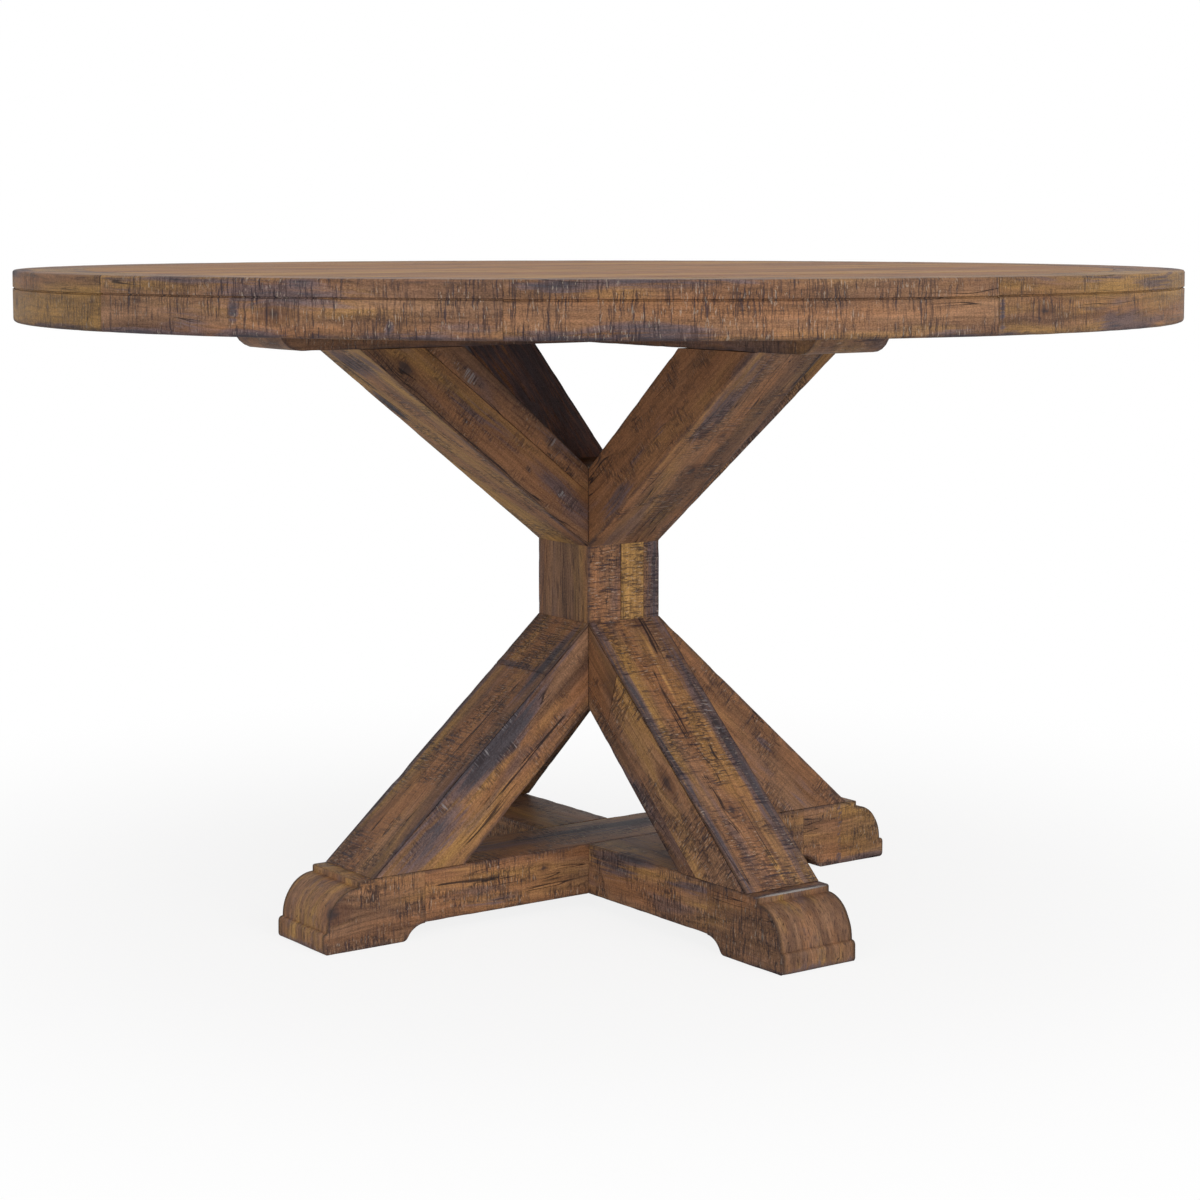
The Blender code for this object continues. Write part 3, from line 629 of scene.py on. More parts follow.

# %% [markdown]
# ## Arms
# Each arm is an outer board of even depth with a tapered board glued behind it, apart from the front
# one, which is a single rust-brown board with knots on its outer face. The left arm has a golden
# outer face, a knot high on its side and clusters of pale scratches. The left and front arms have
# darker sides, painted shade from the top above them, and the back arm is lighter and grey, painted
# shade of the deep shadow under the top. A board is (span, outer face, inner face, tone of its sides,
# tone of its faces, seed).

# %% The four arms
ARM_GLUE = glue_line(0.685, 0.603)
RIGHT_ARM_GLUE = glue_line(0.70, 0.62)
ARM_BOARDS = {
    # the darker side tones of the left and front arms are painted shade from the top above them
    "left": [(WHOLE, OUTER, ARM_GLUE[0], (0.80, -0.1, 0.2), (0.92, 0.8, 0.4), 1.0),
             (WHOLE, ARM_GLUE[1], INNER, (0.80, -0.2, 0.4), (0.88, 0.0, 0.3), 2.0)],
    "front": [(WHOLE, OUTER, INNER, (0.82, -0.2, 0.2), (0.94, 0.1, 0.3), 3.0)],
    "right": [(WHOLE, OUTER, RIGHT_ARM_GLUE[0], (0.98, 0.2, 0.4), (1.0, 0.3, 0.6), 4.0),
              (WHOLE, RIGHT_ARM_GLUE[1], INNER, (0.92, 0.1, 0.2), (0.92, 0.1, 0.4), 5.0)],
    # the back arm's lighter, greyer tones are painted shade of the deep shadow under the top
    "back": [(WHOLE, OUTER, ARM_GLUE[0], (1.1, -0.2, 0.1), (1.0, 0.2, 0.5), 6.0),
             (WHOLE, ARM_GLUE[1], INNER, (1.25, -0.6, 0.0), (2.4, -0.6, -0.1), 7.0)],
}
ARM_MARKS = {
    "left": {
        "skew": 0.3,
        "knots": [(333, 17.5, 52, 8.5)],
        "patches": [
            (220, 35, 52, (100, 22, 20), 0.5), (70, 30, 52, (80, 18, 20), 0.5),
            (300, 10, 52, (60, 6, 20), 0.6), (100, 75, 52, (80, 20, 20), 0.55),
            (279, 0, -36, (30, 4, 10), 1.2), (360, 0, 0, (30, 4, 50), 0.9),
            (150, 0, 46, (250, 4, 6), 0.75),
        ],
        "warm": [
            (200, 30, 52, (200, 40, 30), 1), (200, 0, 0, (300, 4, 60), 0.8),
            (230, 18, 52, (12, 9, 20), -1), (190, 20, 52, (10, 8, 20), -1),
            (127, 24, 52, (14, 9, 20), -1), (71, 27, 52, (10, 8, 20), -1),
            (260, 60, 52, (30, 9, 20), -1), (117, 67, 52, (12, 9, 20), -1),
        ],
        "bright": [(200, 0, 30, (160, 4, 8), 0.55), (100, 0, -10, (100, 4, 8), 0.5)],
        "cracks": [
            ((0, 0, 52), (390, 3, 52)), ((50, 0, 20), (250, 0, 10)), ((180, 0, -20), (360, 0, -30)),
        ],
    },
    "front": {
        "knots": [(155, 0, 7, 7.5), (237, 0, -22, 7), (227, 0, 8, 7)],
        "patches": [
            (300, 0, -30, (100, 6, 18), 0.85), (100, 0, 20, (60, 6, 20), 0.5),
            (199, 35, -52, (30, 14, 20), 0.5), (149, 33, -52, (30, 14, 20), 0.5),
            (82, 13, -52, (50, 14, 20), 0.65),
        ],
        "warm": [(200, 60, -52, (300, 90, 30), 1.4), (280, 0, 10, (100, 6, 10), 1)],
        "cracks": [((0, 0, 49.5), (390, 0, 49.5))],
    },
    "right": {
        "patches": [(120, 0, 30, (100, 30, 30), 0.7)],
        "knots": [(210, 30, -52, 12)],
    },
    "back": {
        # these two wide grey patches are painted shade of the same deep shadow
        "patches": [
            (200, 50, 52, (600, 400, 20), 0.9), (200, 80, 0, (600, 20, 300), 0.9),
            (150, 0, -30, (100, 6, 20), 0.6),
        ],
        "knots": [(260, 0, 12, 9)],
    },
}
for side, bearing in BEARINGS.items():
    build_timber(f"arm_{side}", ARM_OUTLINE, ARM_BOARDS[side], bearing, ARM_MARKS[side])

# %% [markdown]
# ## Legs
# The legs fall to the floor beams. Their seams show on the photo too: thin facings on the left and
# front legs, butted a fifth of the way down on the left one, and on the front leg a strip along the
# inner edge and a dark short board at its head. Each of these is a board of its own.

# %% The four legs
FACING, STRIP, BACK_LEG_GLUE = glue_line(0.035, 0.035), glue_line(0.74, 0.74), glue_line(0.55, 0.55)
LEFT_HEAD, LEFT_REST = butt_joint(0.2075)
FRONT_HEAD, FRONT_REST = butt_joint(0.19)
LEG_BOARDS = {
    "left": [(LEFT_HEAD, OUTER, FACING[0], (0.9, 0.0, 0.5), (0.94, 0.1, 1.0), 11.0),
             (LEFT_REST, OUTER, FACING[0], (0.9, 0.0, 0.5), (0.98, 0.1, 0.5), 12.0),
             (WHOLE, FACING[1], INNER, (1.09, 0.15, 0.1), (0.9, 0.1, 0.4), 10.0)],
    "front": [(WHOLE, STRIP[1], INNER, (0.94, 0.1, 0.5), (0.9, 0.0, 0.4), 13.0),
              (FRONT_HEAD, FACING[1], STRIP[0], (0.86, -0.2, 0.2), (0.9, 0, 0.4), 14.0),
              (FRONT_REST, FACING[1], STRIP[0], (1.04, 0.4, 0.7), (0.9, 0, 0.4), 15.0),
              (WHOLE, OUTER, FACING[0], (0.9, 0.0, 0.5), (1.13, 0.1, 0.9), 9.0)],
    "right": [(WHOLE, OUTER, INNER, (1.0, 0.05, 0.25), (0.98, 0.2, 0.6), 16.0)],
    "back": [(WHOLE, OUTER, BACK_LEG_GLUE[0], (0.96, 0.2, 0.5), (0.96, 0.2, 0.8), 18.0),
             (WHOLE, BACK_LEG_GLUE[1], INNER, (0.92, 0.1, 0.4), (0.92, 0.1, 0.5), 19.0)],
}
LEG_MARKS = {
    "left": {
        "knots": [(366, 0, -23.5, 6)],
        "patches": [
            (210, 3, 52, (250, 6, 6), 1), (180, 14, 52, (90, 17, 20), 1.3),
            (320, 22, 52, (70, 30, 20), 0.75), (200, 0, -50, (300, 3, 10), 0.9),
            (80, 0, 0, (8, 3, 60), 0.8), (70, 0, 40, (70, 3, 14), 1),
        ],
        "warm": [
            (200, 0, 0, (300, 3, 30), 0.9), (200, 55, 52, (200, 20, 30), 0.9),
            (153, 4, 52, (20, 6, 20), -0.9), (210, 8, 52, (20, 8, 20), -0.9),
            (170, 30, 52, (10, 8, 20), -0.9), (280, 12, 52, (12, 8, 20), -0.8),
            (270, 0, -47, (100, 3, 6), -0.6),
        ],
        "bright": [(60, 0, 46, (70, 3, 6), 0.5), (300, 75, 52, (80, 8, 20), 0.5)],
        "cracks": [
            ((170, 0, 16), (340, 0, -17)), ((200, 0, 30), (390, 0, -4)), ((100, 0, 20), (200, 0, 15)),
            ((280, 0, 35), (390, 0, 20)), ((220, 0, -5), (330, 0, -35)), ((100, 60, 52), (240, 55, 52)),
            ((200, 70, 52), (300, 68, 52)),
        ],
    },
    "front": {
        "knots": [(225, 22, -52, 10), (289, 0, -7, 6)],
        "patches": [
            (200, 0, -46, (350, 3, 9), 0.95), (200, 0, 42, (350, 3, 13), 0.85),
            (170, 74, -52, (80, 10, 10), 0.9), (100, 0, 36, (100, 3, 12), 0.7),
        ],
        "warm": [
            (200, 0, 0, (300, 3, 30), 0.7), (40, 30, -52, (50, 40, 30), 1.2),
            (150, 0, 42, (50, 3, 8), -0.8),
        ],
        "bright": [
            (40, 0, 13.5, (50, 3, 3.5), 0.8), (100, 0, 6.5, (40, 3, 3.5), 0.75),
            (160, 0, 0, (40, 3, 3.5), 0.7), (370, 0, 8, (40, 3, 6), 0.7),
        ],
        "cracks": [
            ((85, 0, 1), (180, 0, -10)), ((0, 0, 24), (70, 0, 20)), ((240, 0, -18), (340, 0, -16)),
            ((280, 0, 12), (370, 0, 6)),
        ],
    },
    "right": {
        "warm": [(140, 50, -52, (160, 80, 30), 1.2)],
        "patches": [
            (239.8, 23.4, -52, (22, 8, 20), 0.75), (240, 70, -52, (50, 30, 30), 0.5),
            (330, 50, -52, (60, 50, 30), 0.45),
        ],
    },
    "back": {
        "knots": [(200, 0, 10, 12)],
        "patches": [(200, 0, 40, (200, 30, 20), 0.7)],
    },
}
for side, bearing in BEARINGS.items():
    build_timber(f"leg_{side}", LEG_OUTLINE, LEG_BOARDS[side], bearing, LEG_MARKS[side])

# %% [markdown]
# ## Post
# Three staves glued side by side make the square post. On the photo the middle stave shows as a
# golden stripe on the front face, between a pinkish stave and a dark purple one. The post is one more
# timber, drawn standing, so the same boards make it.

# %% The post
POST_OUTLINE = side_view((-HALF, POST_FOOT), (-HALF, POST_HEAD), (HALF, POST_HEAD), (HALF, POST_FOOT))
PINK_GLUE, DARK_GLUE = glue_line(0.46, 0.46), glue_line(0.78, 0.78)
POST_BOARDS = [
    (WHOLE, OUTER, PINK_GLUE[0], (1.08, 0.05, 1.2), (0.78, 0.0, -0.8), 21.0),
    (WHOLE, PINK_GLUE[1], DARK_GLUE[0], (1.12, 0.9, 1.3), (1.0, 0.4, 0.4), 22.0),
    (WHOLE, DARK_GLUE[1], INNER, (1.0, -0.1, 1.2), (0.95, 0.0, 0.2), 23.0),
]
POST_MARKS = {
    "patches": [(140, 98, -52, (200, 16, 50), 0.8), (0, 20, -52, (100, 20, 20), 0.5)],
    "bright": [(140, 62, -52, (200, 14, 30), 0.55)],
    "warm": [(140, 30, -52, (200, 30, 20), 0.4)],
}
build_timber("post", POST_OUTLINE, POST_BOARDS, 0.0, POST_MARKS)

# %% [markdown]
# ## Carving
# Half-laps, bolt holes and glide recesses cut right through the grid of a board. Modelling each hole
# into the grid would take a new grid for every piece, so a boolean does it; the attributes are
# written afterwards, from the carved mesh.

# %% Carve a mesh with cutters
BORE_SIDES = 32


def carved(mesh, cutters):
    scene = bpy.context.scene.collection
    blank = bpy.data.objects.new("blank", mesh)
    scene.objects.link(blank)
    tools = []
    for cutter in cutters:
        tool = bpy.data.objects.new("tool", cutter)
        scene.objects.link(tool)
        tools.append(tool)
        step = blank.modifiers.new("carve", "BOOLEAN")
        step.operation = "DIFFERENCE"
        step.solver = "EXACT"
        step.object = tool
    made = bpy.data.meshes.new_from_object(blank.evaluated_get(bpy.context.evaluated_depsgraph_get()))
    for item in (blank, *tools):
        old = item.data
        bpy.data.objects.remove(item)
        bpy.data.meshes.remove(old)
    return made


def lap_cutter(low, high):
    """A block as wide as a crossing timber, for its half-lap."""
    low, high = Vector((-HALF - GAP, -1, low)), Vector((HALF + GAP, 1, high))
    bm = bmesh.new()
    bmesh.ops.create_cube(bm, size=1.0, matrix=Matrix.Translation((low + high) / 2)
                          @ Matrix.Diagonal((*(high - low), 1)))
    return settle(bm, "cutter")


def bore_cutter(radius, low, high, x):
    bm = bmesh.new()
    bmesh.ops.create_cone(bm, cap_ends=True, segments=BORE_SIDES, radius1=radius, radius2=radius,
                          depth=high - low, matrix=Matrix.Translation((x, 0, (low + high) / 2)))
    return settle(bm, "cutter")


print("carving helpers ready, bores have", BORE_SIDES, "sides")

# %% [markdown]
# ## Moulded lengths
# Beams and cleats have one outline all along their width. A grid between two matching paths, lower
# and upper, is pushed across to the full width and bevelled, which keeps the faces even where a
# filled outline would give one large face that can't be worn or marked.

# %% Draw paths and push a moulded length
def arc(centre, radii, start, end, steps):
    turns = [math.radians(start + (end - start) * step / steps) for step in range(steps + 1)]
    return [(centre[0] + radii[0] * math.cos(t), centre[1] + radii[1] * math.sin(t)) for t in turns]


def spread(first, last, steps):
    return [(first[0] + (last[0] - first[0]) * n / steps, first[1] + (last[1] - first[1]) * n / steps)
            for n in range(steps)]


def thicken(bm, way):
    """Pushes a flat grid out to a closed block."""
    swept = bmesh.ops.extrude_face_region(bm, geom=list(bm.faces))
    moved = [item for item in swept["geom"] if isinstance(item, bmesh.types.BMVert)]
    bmesh.ops.translate(bm, verts=moved, vec=way)
    bmesh.ops.recalc_face_normals(bm, faces=bm.faces)


def moulded_length(lower, upper, rows, arris, butts=()):
    """A block between two matching (x, z) paths, bevelled along its sides but not at its butts."""
    bm = bmesh.new()
    bmesh.ops.create_grid(bm, x_segments=len(lower) - 1, y_segments=rows, size=1.0)
    for vert in bm.verts:
        column = round((vert.co.x + 1) / 2 * (len(lower) - 1))
        share = (vert.co.y + 1) / 2
        x = lower[column][0] * (1 - share) + upper[column][0] * share
        z = lower[column][1] * (1 - share) + upper[column][1] * share
        vert.co = (x, -HALF, z)
    thicken(bm, (0, 2 * HALF, 0))
    rims = [edge for edge in bm.edges if len(edge.link_faces) == 2
            and (abs(edge.link_faces[0].normal.y) > 0.9) != (abs(edge.link_faces[1].normal.y) > 0.9)
            and not any(all(abs(vert.co.x - butt) < 1e-6 for vert in edge.verts) for butt in butts)]
    bevel(bm, rims, arris, 3)
    cut_edges(bm, lambda run: abs(run.y) > 0.9)
    return settle(bm, "moulded")


def moulded_place(mesh):
    """Grain place of a moulded length: along X, up, and across."""
    return coordinates(mesh)[:, (0, 2, 1)]


def moulded_arris(place, path):
    """The way to the nearest arris of a block with this outline."""
    return np.maximum(HALF - np.abs(place[:, 2]), way_to_path(place[:, :2], path))


print("moulding helpers ready, pieces are", round(2 * HALF * MM), "mm wide")

# %% [markdown]
# ## Outline of a foot
# A moulded block is glued to each end of a floor beam: a cove under the pad, a toe band, an ovolo, a
# fillet and the flat shelf. A router cuts the real one in a few passes, so its outline is arcs and
# straight lines. The block's grid runs between its lower and its upper path, which need the same
# number of points.

# %% The two paths of a foot
UNDERCUT = 0.0178
PAD_INNER, COVE_RUN, COVE_LIP = 0.3115, 0.030, 0.008
SHELF_REACH, SHELF_ROUND, FILLET, OVOLO_RUN = 0.3694, 0.0025, 0.0077, 0.040
TOE_REACH, TOE_HEIGHT, TOE_ROUND = 0.415, 0.0245, 0.005
BLOCK_START = PAD_INNER - COVE_RUN
OVOLO_RISE = BEAM_TOP - FILLET - TOE_HEIGHT
TOE_START, SHELF_START = TOE_REACH - TOE_ROUND, SHELF_REACH - SHELF_ROUND
TOE_ARC, SHELF_ARC = (TOE_ROUND, TOE_ROUND), (SHELF_ROUND, SHELF_ROUND)


def cove():
    """From the relieved underside to the pad: a hollow arc that runs into a small rounded lip."""
    slope = 2 * math.atan(UNDERCUT / COVE_RUN)
    hollow = COVE_RUN / math.sin(slope) - COVE_LIP
    turn = math.degrees(slope)
    path = arc((BLOCK_START, UNDERCUT - hollow), (hollow, hollow), 90, 90 - turn, 7)
    return path[:-1] + arc((PAD_INNER, COVE_LIP), (COVE_LIP, COVE_LIP), 270 - turn, 270, 4)[:-1]


FOOT_LOWER = (cove() + spread((PAD_INNER, 0), (TOE_START, 0), 22)
              + arc((TOE_START, TOE_ROUND), TOE_ARC, -90, 0, 4))
FOOT_UPPER = (spread((BLOCK_START, BEAM_TOP), (SHELF_START, BEAM_TOP), 14)
              + arc((SHELF_START, BEAM_TOP - SHELF_ROUND), SHELF_ARC, 90, 0, 3)[:-1]
              + spread((SHELF_REACH, BEAM_TOP - SHELF_ROUND), (SHELF_REACH, BEAM_TOP - FILLET), 2)
              + arc((SHELF_REACH, TOE_HEIGHT), (OVOLO_RUN, OVOLO_RISE), 90, 0, 14)
              + arc((TOE_START, TOE_HEIGHT - TOE_ROUND), TOE_ARC, 90, 0, 3))
FOOT_PATH = FOOT_LOWER + FOOT_UPPER[::-1]
print("foot paths", len(FOOT_LOWER), len(FOOT_UPPER))

# %% [markdown]
# ## Floor beams
# A floor beam is a straight length with a foot block at each end. The two beams cross in a half-lap,
# and a stepped bore under each foot takes its glide. On the photo the front foot has a pale line along
# its shelf, laid on as a painted highlight with painted shade on the shelf just behind it, and the
# right foot shows the seam of a further block, so these marks are set foot by foot. The grain bends
# round the ovolo, where the block was cut across its end.

# %% Looks of the two floor beams
BEAM_ARRIS, FOOT_ARRIS = 0.0024, 0.0038
BEAM_TONE = (1.14, 0.3, 0.6)
FOOT_TONES = {"right": (1.0, 0.6, 0.6), "left": (1.10, 0.35, 0.8),
              "back": (0.95, 0.3, 0.6), "front": (0.95, 0.1, 1.0)}
ROUND_SAW, ROUND_DEPTH = -0.3, 0.02
ROUND_LINES = (4.0, 2.0, 1.0)
BLOCK_SEAMS = {"right": 0.341}
FOOT_KNOTS = {"left": [(-404, 46, -48, 11)]}
BEAM_MARKS = {
    "floor_beam_along": {
        "knots": [(-116.6, 58.4, -52, 5), (200, 45, 52, 8)],
        # the patch on the top at the middle is painted shade under the post and legs
        "patches": [(-200, 30, -52, (80, 12, 30), 0.4), (0, MM * BEAM_TOP, 10, (300, 3, 30), 0.9)],
        "warm": [(-180, 50, -52, (120, 30, 20), 1.2)],
        "bright": [(-220, 72, -52, (50, 6, 20), 0.6)],
        "cracks": [((-261.4, 56, -52), (-200, 54, -52), (-155, 50, -52))],
    },
    "floor_beam_across": {
        "knots": [(200, 45, -52, 8)],
        "patches": [
            (-100, 62, 52, (60, 20, 20), 0.75), (-140, 76, 52, (50, 6, 20), 0.9),
            # the last patch, on the top at the middle, is painted shade under the post and legs
            (-250, 65, 52, (50, 10, 20), 0.7), (0, MM * BEAM_TOP, 0, (300, 3, 30), 0.5),
        ],
        "warm": [(-150, 40, 52, (70, 16, 20), 1.2)],
        "bright": [(-150, 62, 52, (30, 4, 20), 0.55), (-210, 50, 52, (30, 4, 20), 0.55)],
    },
}


def foot_marks(side, way):
    """Marks of one foot; way is 1 at the beam's far end and -1 at its near end."""
    shelf = MM * BEAM_TOP
    seam = MM * way * BLOCK_SEAMS.get(side, 1.0)
    marks = {"knots": FOOT_KNOTS.get(side, ()), "patches": [(way * 400, 0, 0, (80, 10, 100), 0.7)],
             "warm": [(seam, 30, 0, (30, 100, 200), 0.5)]}
    if side in BLOCK_SEAMS:
        marks["patches"] += [(seam, 40, 0, (4, 60, 200), 0.8)]
    if side == "front":
        # a painted highlight along the shelf's arris, and painted shade on the shelf just behind it
        marks["bright"] = [(MM * way * SHELF_REACH, shelf, 0, (3, 2.2, 80), -1)]
        marks["patches"] += [(way * 366, shelf, 0, (6, 4, 80), 0.9)]
    return marks


print("marked beams", list(BEAM_MARKS))

# %% Build the two floor beams
GLIDE_REACH = 0.363
# radius, lower end and upper end of the recess, the insert's bore and the stud's bore
GLIDE_BORES = [(0.0175, -0.01, 0.007), (0.0083, 0.006, 0.0253), (0.0055, 0.025, 0.037)]
BEAM_ROWS = 12
BLOCK_JOINT = 0.00005
MIDDLE_END = BLOCK_START - BLOCK_JOINT
MIDDLE_LOWER = spread((-MIDDLE_END, UNDERCUT), (MIDDLE_END, UNDERCUT), 110) + [(MIDDLE_END, UNDERCUT)]
MIDDLE_UPPER = [(x, BEAM_TOP) for x, _ in MIDDLE_LOWER]
LAP = (BEAM_TOP + UNDERCUT) / 2
BEAMS = {
    "floor_beam_along": (0.0, (-0.1, LAP + GAP / 2), {1: "right", -1: "left"}, 31.0),
    "floor_beam_across": (math.pi / 2, (LAP - GAP / 2, 0.2), {1: "back", -1: "front"}, 41.0),
}


def beam_middle(node, lap, seed):
    middle = moulded_length(MIDDLE_LOWER, MIDDLE_UPPER, BEAM_ROWS, BEAM_ARRIS, (-MIDDLE_END, MIDDLE_END))
    middle = carved(middle, [lap_cutter(*lap)])
    place = moulded_place(middle)
    near = np.minimum(np.abs(place[:, 1] - UNDERCUT), np.abs(place[:, 1] - BEAM_TOP))
    arris = np.maximum(HALF - np.abs(place[:, 2]), near)
    return dress(middle, place, arris, BEAM_TONE, seed, BEAM_MARKS[node])


def foot_block(side, way, seed):
    foot = moulded_length(FOOT_LOWER, FOOT_UPPER, BEAM_ROWS, FOOT_ARRIS, (BLOCK_START,))
    foot = carved(foot, [bore_cutter(*bore, GLIDE_REACH) for bore in GLIDE_BORES])
    if way < 0:
        foot.transform(Matrix.Rotation(math.pi, 4, "Z"))
    place = moulded_place(foot)
    arris = moulded_arris(place, [(way * x, z) for x, z in FOOT_PATH])
    reach = np.abs(place[:, 0])
    curved = (reach > SHELF_REACH - 0.001) & (np.abs(place[:, 2]) < HALF - SKIN) & (place[:, 1] > 0.0005)
    tone = np.tile(FOOT_TONES[side], (len(place), 1))
    tone[reach < BLOCK_SEAMS.get(side, 0.0)] = BEAM_TONE
    tone[curved, 2] = ROUND_SAW
    board = dress(foot, place, arris, tone, seed + 3 + way, foot_marks(side, way))
    round_way = reach + BEAM_TOP - place[:, 1]
    bent_round = np.stack((round_way, place[:, 2], np.full(len(place), ROUND_DEPTH)), axis=1)
    board[1][curved] = bent_round[curved] * ROUND_LINES + 0.31 * seed
    return board


for node, (bearing, lap, ends, seed) in BEAMS.items():
    boards = [beam_middle(node, lap, seed)]
    boards += [foot_block(side, way, seed) for way, side in ends.items()]
    finish_piece(node, boards, "base_wood", bearing)

# %% [markdown]
# ## Cleats
# Two cleats cross under the top, half-lapped like the beams. Their lower ends are rounded, and each
# has four counterbores from below for the bolts that hold the top. They are plain moulded lengths,
# carved like the beams.

# %% The two cleats
CLEAT_TOP, CLEAT_REACH, CLEAT_ROUND = 0.7357, 0.4657, 0.030
BOLT_REACHES = (0.1777, 0.4057)
HEAD_BORE, HEAD_DEPTH, SHANK_BORE = 0.012, 0.022, 0.0048
CLEAT_TONE = (0.97, 0.15, 0.5)
CLEAT_ROWS, CLEAT_STEPS, ROUND_STEPS = 10, 150, 6
CLEAT_LAP = (CLEAT_BOTTOM + CLEAT_TOP) / 2
CLEATS = {"cleat_along": (0.0, (0.5, CLEAT_LAP + GAP / 2), 51.0),
          "cleat_across": (math.pi / 2, (CLEAT_LAP - GAP / 2, 1.0), 55.0)}


def cleat_paths():
    centre = (CLEAT_REACH - CLEAT_ROUND, CLEAT_BOTTOM + CLEAT_ROUND)
    right = arc(centre, (CLEAT_ROUND, CLEAT_ROUND), -90, 0, ROUND_STEPS)
    left = [(-x, z) for x, z in reversed(right)]
    lower = left + spread(left[-1], right[0], CLEAT_STEPS)[1:] + right
    return lower, [(x, CLEAT_TOP) for x, _ in lower]


CLEAT_LOWER, CLEAT_UPPER = cleat_paths()
for node, (bearing, lap, seed) in CLEATS.items():
    cutters = [lap_cutter(*lap)]
    for reach in (*BOLT_REACHES, *(-r for r in BOLT_REACHES)):
        cutters.append(bore_cutter(HEAD_BORE, CLEAT_BOTTOM - 0.01, CLEAT_BOTTOM + HEAD_DEPTH, reach))
        cutters.append(bore_cutter(SHANK_BORE, CLEAT_BOTTOM + HEAD_DEPTH - 0.002, CLEAT_TOP + 0.01, reach))
    cleat = carved(moulded_length(CLEAT_LOWER, CLEAT_UPPER, CLEAT_ROWS, BEAM_ARRIS), cutters)
    place = moulded_place(cleat)
    arris = moulded_arris(place, CLEAT_LOWER + CLEAT_UPPER[::-1])
    finish_piece(node, [dress(cleat, place, arris, CLEAT_TONE, seed, {})], "cleat_wood", bearing)

# %% [markdown]
# ## Rim
# Nine curved boards, butted end to end, form the rim. Each is one section spun round the table's
# axis: eased arrises, the routed line, and the ledge that carries the planks. A spin follows the
# circle exactly, which bent straight boards wouldn't. The line sits a hair higher or lower on each
# board, so it steps at the seams as it does on the photo.

# %% Section of the rim
RIM_INNER = 0.5808
GROOVE_DROP, GROOVE_WIDTH, GROOVE_DEPTH = 0.0197, 0.0026, 0.0024
LOW_ROUND, HIGH_ROUND, EASED = 0.004, 0.003, 0.0008
LIP_IN, LIP_UP, FLOOR_HALF = 0.0006, 0.0004, 0.0005
LINE_STEPS = [0.0003, -0.0003, 0.0005, -0.0002, 0.0002, -0.0004, 0.0003, -0.0002, -0.0005]


def rim_section(step):
    line = TOP_Z - GROOVE_DROP + step
    low_lip, high_lip = line - GROOVE_WIDTH / 2, line + GROOVE_WIDTH / 2
    lip, groove_floor, ledge = RIM_RADIUS - LIP_IN, RIM_RADIUS - GROOVE_DEPTH, PLANK_BOTTOM - GAP
    bottom = arc((RIM_RADIUS - LOW_ROUND, RIM_BOTTOM + LOW_ROUND), (LOW_ROUND, LOW_ROUND), -90, 0, 4)
    top = arc((RIM_RADIUS - HIGH_ROUND, TOP_Z - HIGH_ROUND), (HIGH_ROUND, HIGH_ROUND), 0, 90, 4)
    face = spread(bottom[-1], (RIM_RADIUS, low_lip), 7)[1:]
    routed = [(RIM_RADIUS, low_lip), (lip, low_lip + LIP_UP), (groove_floor, line - FLOOR_HALF),
              (groove_floor, line + FLOOR_HALF), (lip, high_lip - LIP_UP), (RIM_RADIUS, high_lip)]
    upper = spread((RIM_RADIUS, high_lip), top[0], 4)[1:]
    across = spread(top[-1], (FIELD_RADIUS + EASED, TOP_Z), 14)[1:]
    inner = [(FIELD_RADIUS + EASED, TOP_Z), (FIELD_RADIUS, TOP_Z - EASED), (FIELD_RADIUS, ledge),
             (RIM_INNER, ledge)]
    under = spread((RIM_INNER, RIM_BOTTOM), bottom[0], 8)
    return bottom + face + routed + upper + top + across + inner + under


print("rim section has", len(rim_section(0.0)), "points")

# %% [markdown]
# ## Looks of the rim
# Three boards of the rim fill the front of the photo, and their stains, knots and warm places are
# marked one by one. The boards behind repeat the same kinds of marks at other places, so that the
# table looks right from every side.

# %% Tones and marks of the rim boards
SEAMS = [-174.1, -133.3, -90.3]
SEAMS += [SEAMS[-1] + (360 - (SEAMS[2] - SEAMS[0])) / 7 * n for n in range(1, 8)]
RIM_TONES = [(1.09, 0.25, 0.85), (0.98, 0.35, 0.85), (0.97, 0.65, 0.5), (0.95, 0.1, 0.8), (0.98, 0.4, 0.7),
             (0.96, 0.2, 0.9), (0.97, 0.55, 0.6), (0.94, 0.1, 0.8), (0.83, 0.75, 0.5)]
# stains along the lower edge: share of the board's length, and reach in millimetres
RIM_STAINS = [((0.1, 100), (0.45, 50), (0.8, 80)), ((0.12, 120), (0.9, 40)), ((0.02, 30), (0.5, 50)),
              ((0.3, 80),), ((0.7, 100),), ((0.2, 60), (0.8, 70)), ((0.5, 90),), ((0.3, 120),), ((0.8, 100),)]
RIM_BLOTS = {
    0: [
        (50, 50, 0, (80, 18, 30), 0.55), (130, 20, 0, (60, 25, 30), 0.5),
        (377, 12, 0, (4, 12, 20), 1.1), (201, 29, 0, (5, 16, 20), 1.1), (281, 54, 0, (30, 12, 20), 0.7),
        (250, 42, 0, (160, 22, 30), 0.55),
    ],
    1: [(48, 4, 0, (50, 7, 20), 0.9), (135, 6, 0, (80, 16, 20), 0.8), (50, 52, 0, (50, 10, 30), 0.8)],
    2: [
        (340, 52, 0, (120, 14, 30), 0.75), (200, 4, 0, (60, 16, 20), 0.75),
        (4, 20, 0, (4, 20, 20), 1.1),
    ],
    8: [(400, 48, 0, (100, 20, 30), -0.9)],
}
RIM_WARM = {
    2: [(250, 50, 0, (150, 20, 50), 0.2), (370, 20, 0, (110, 30, 100), 1)],
}
RIM_KNOTS = {
    0: [(250, 23, 0, 9)],
    1: [],
    2: [(66, 25, 0, 6)],
}
GOLDEN_EDGES = (1, 5)


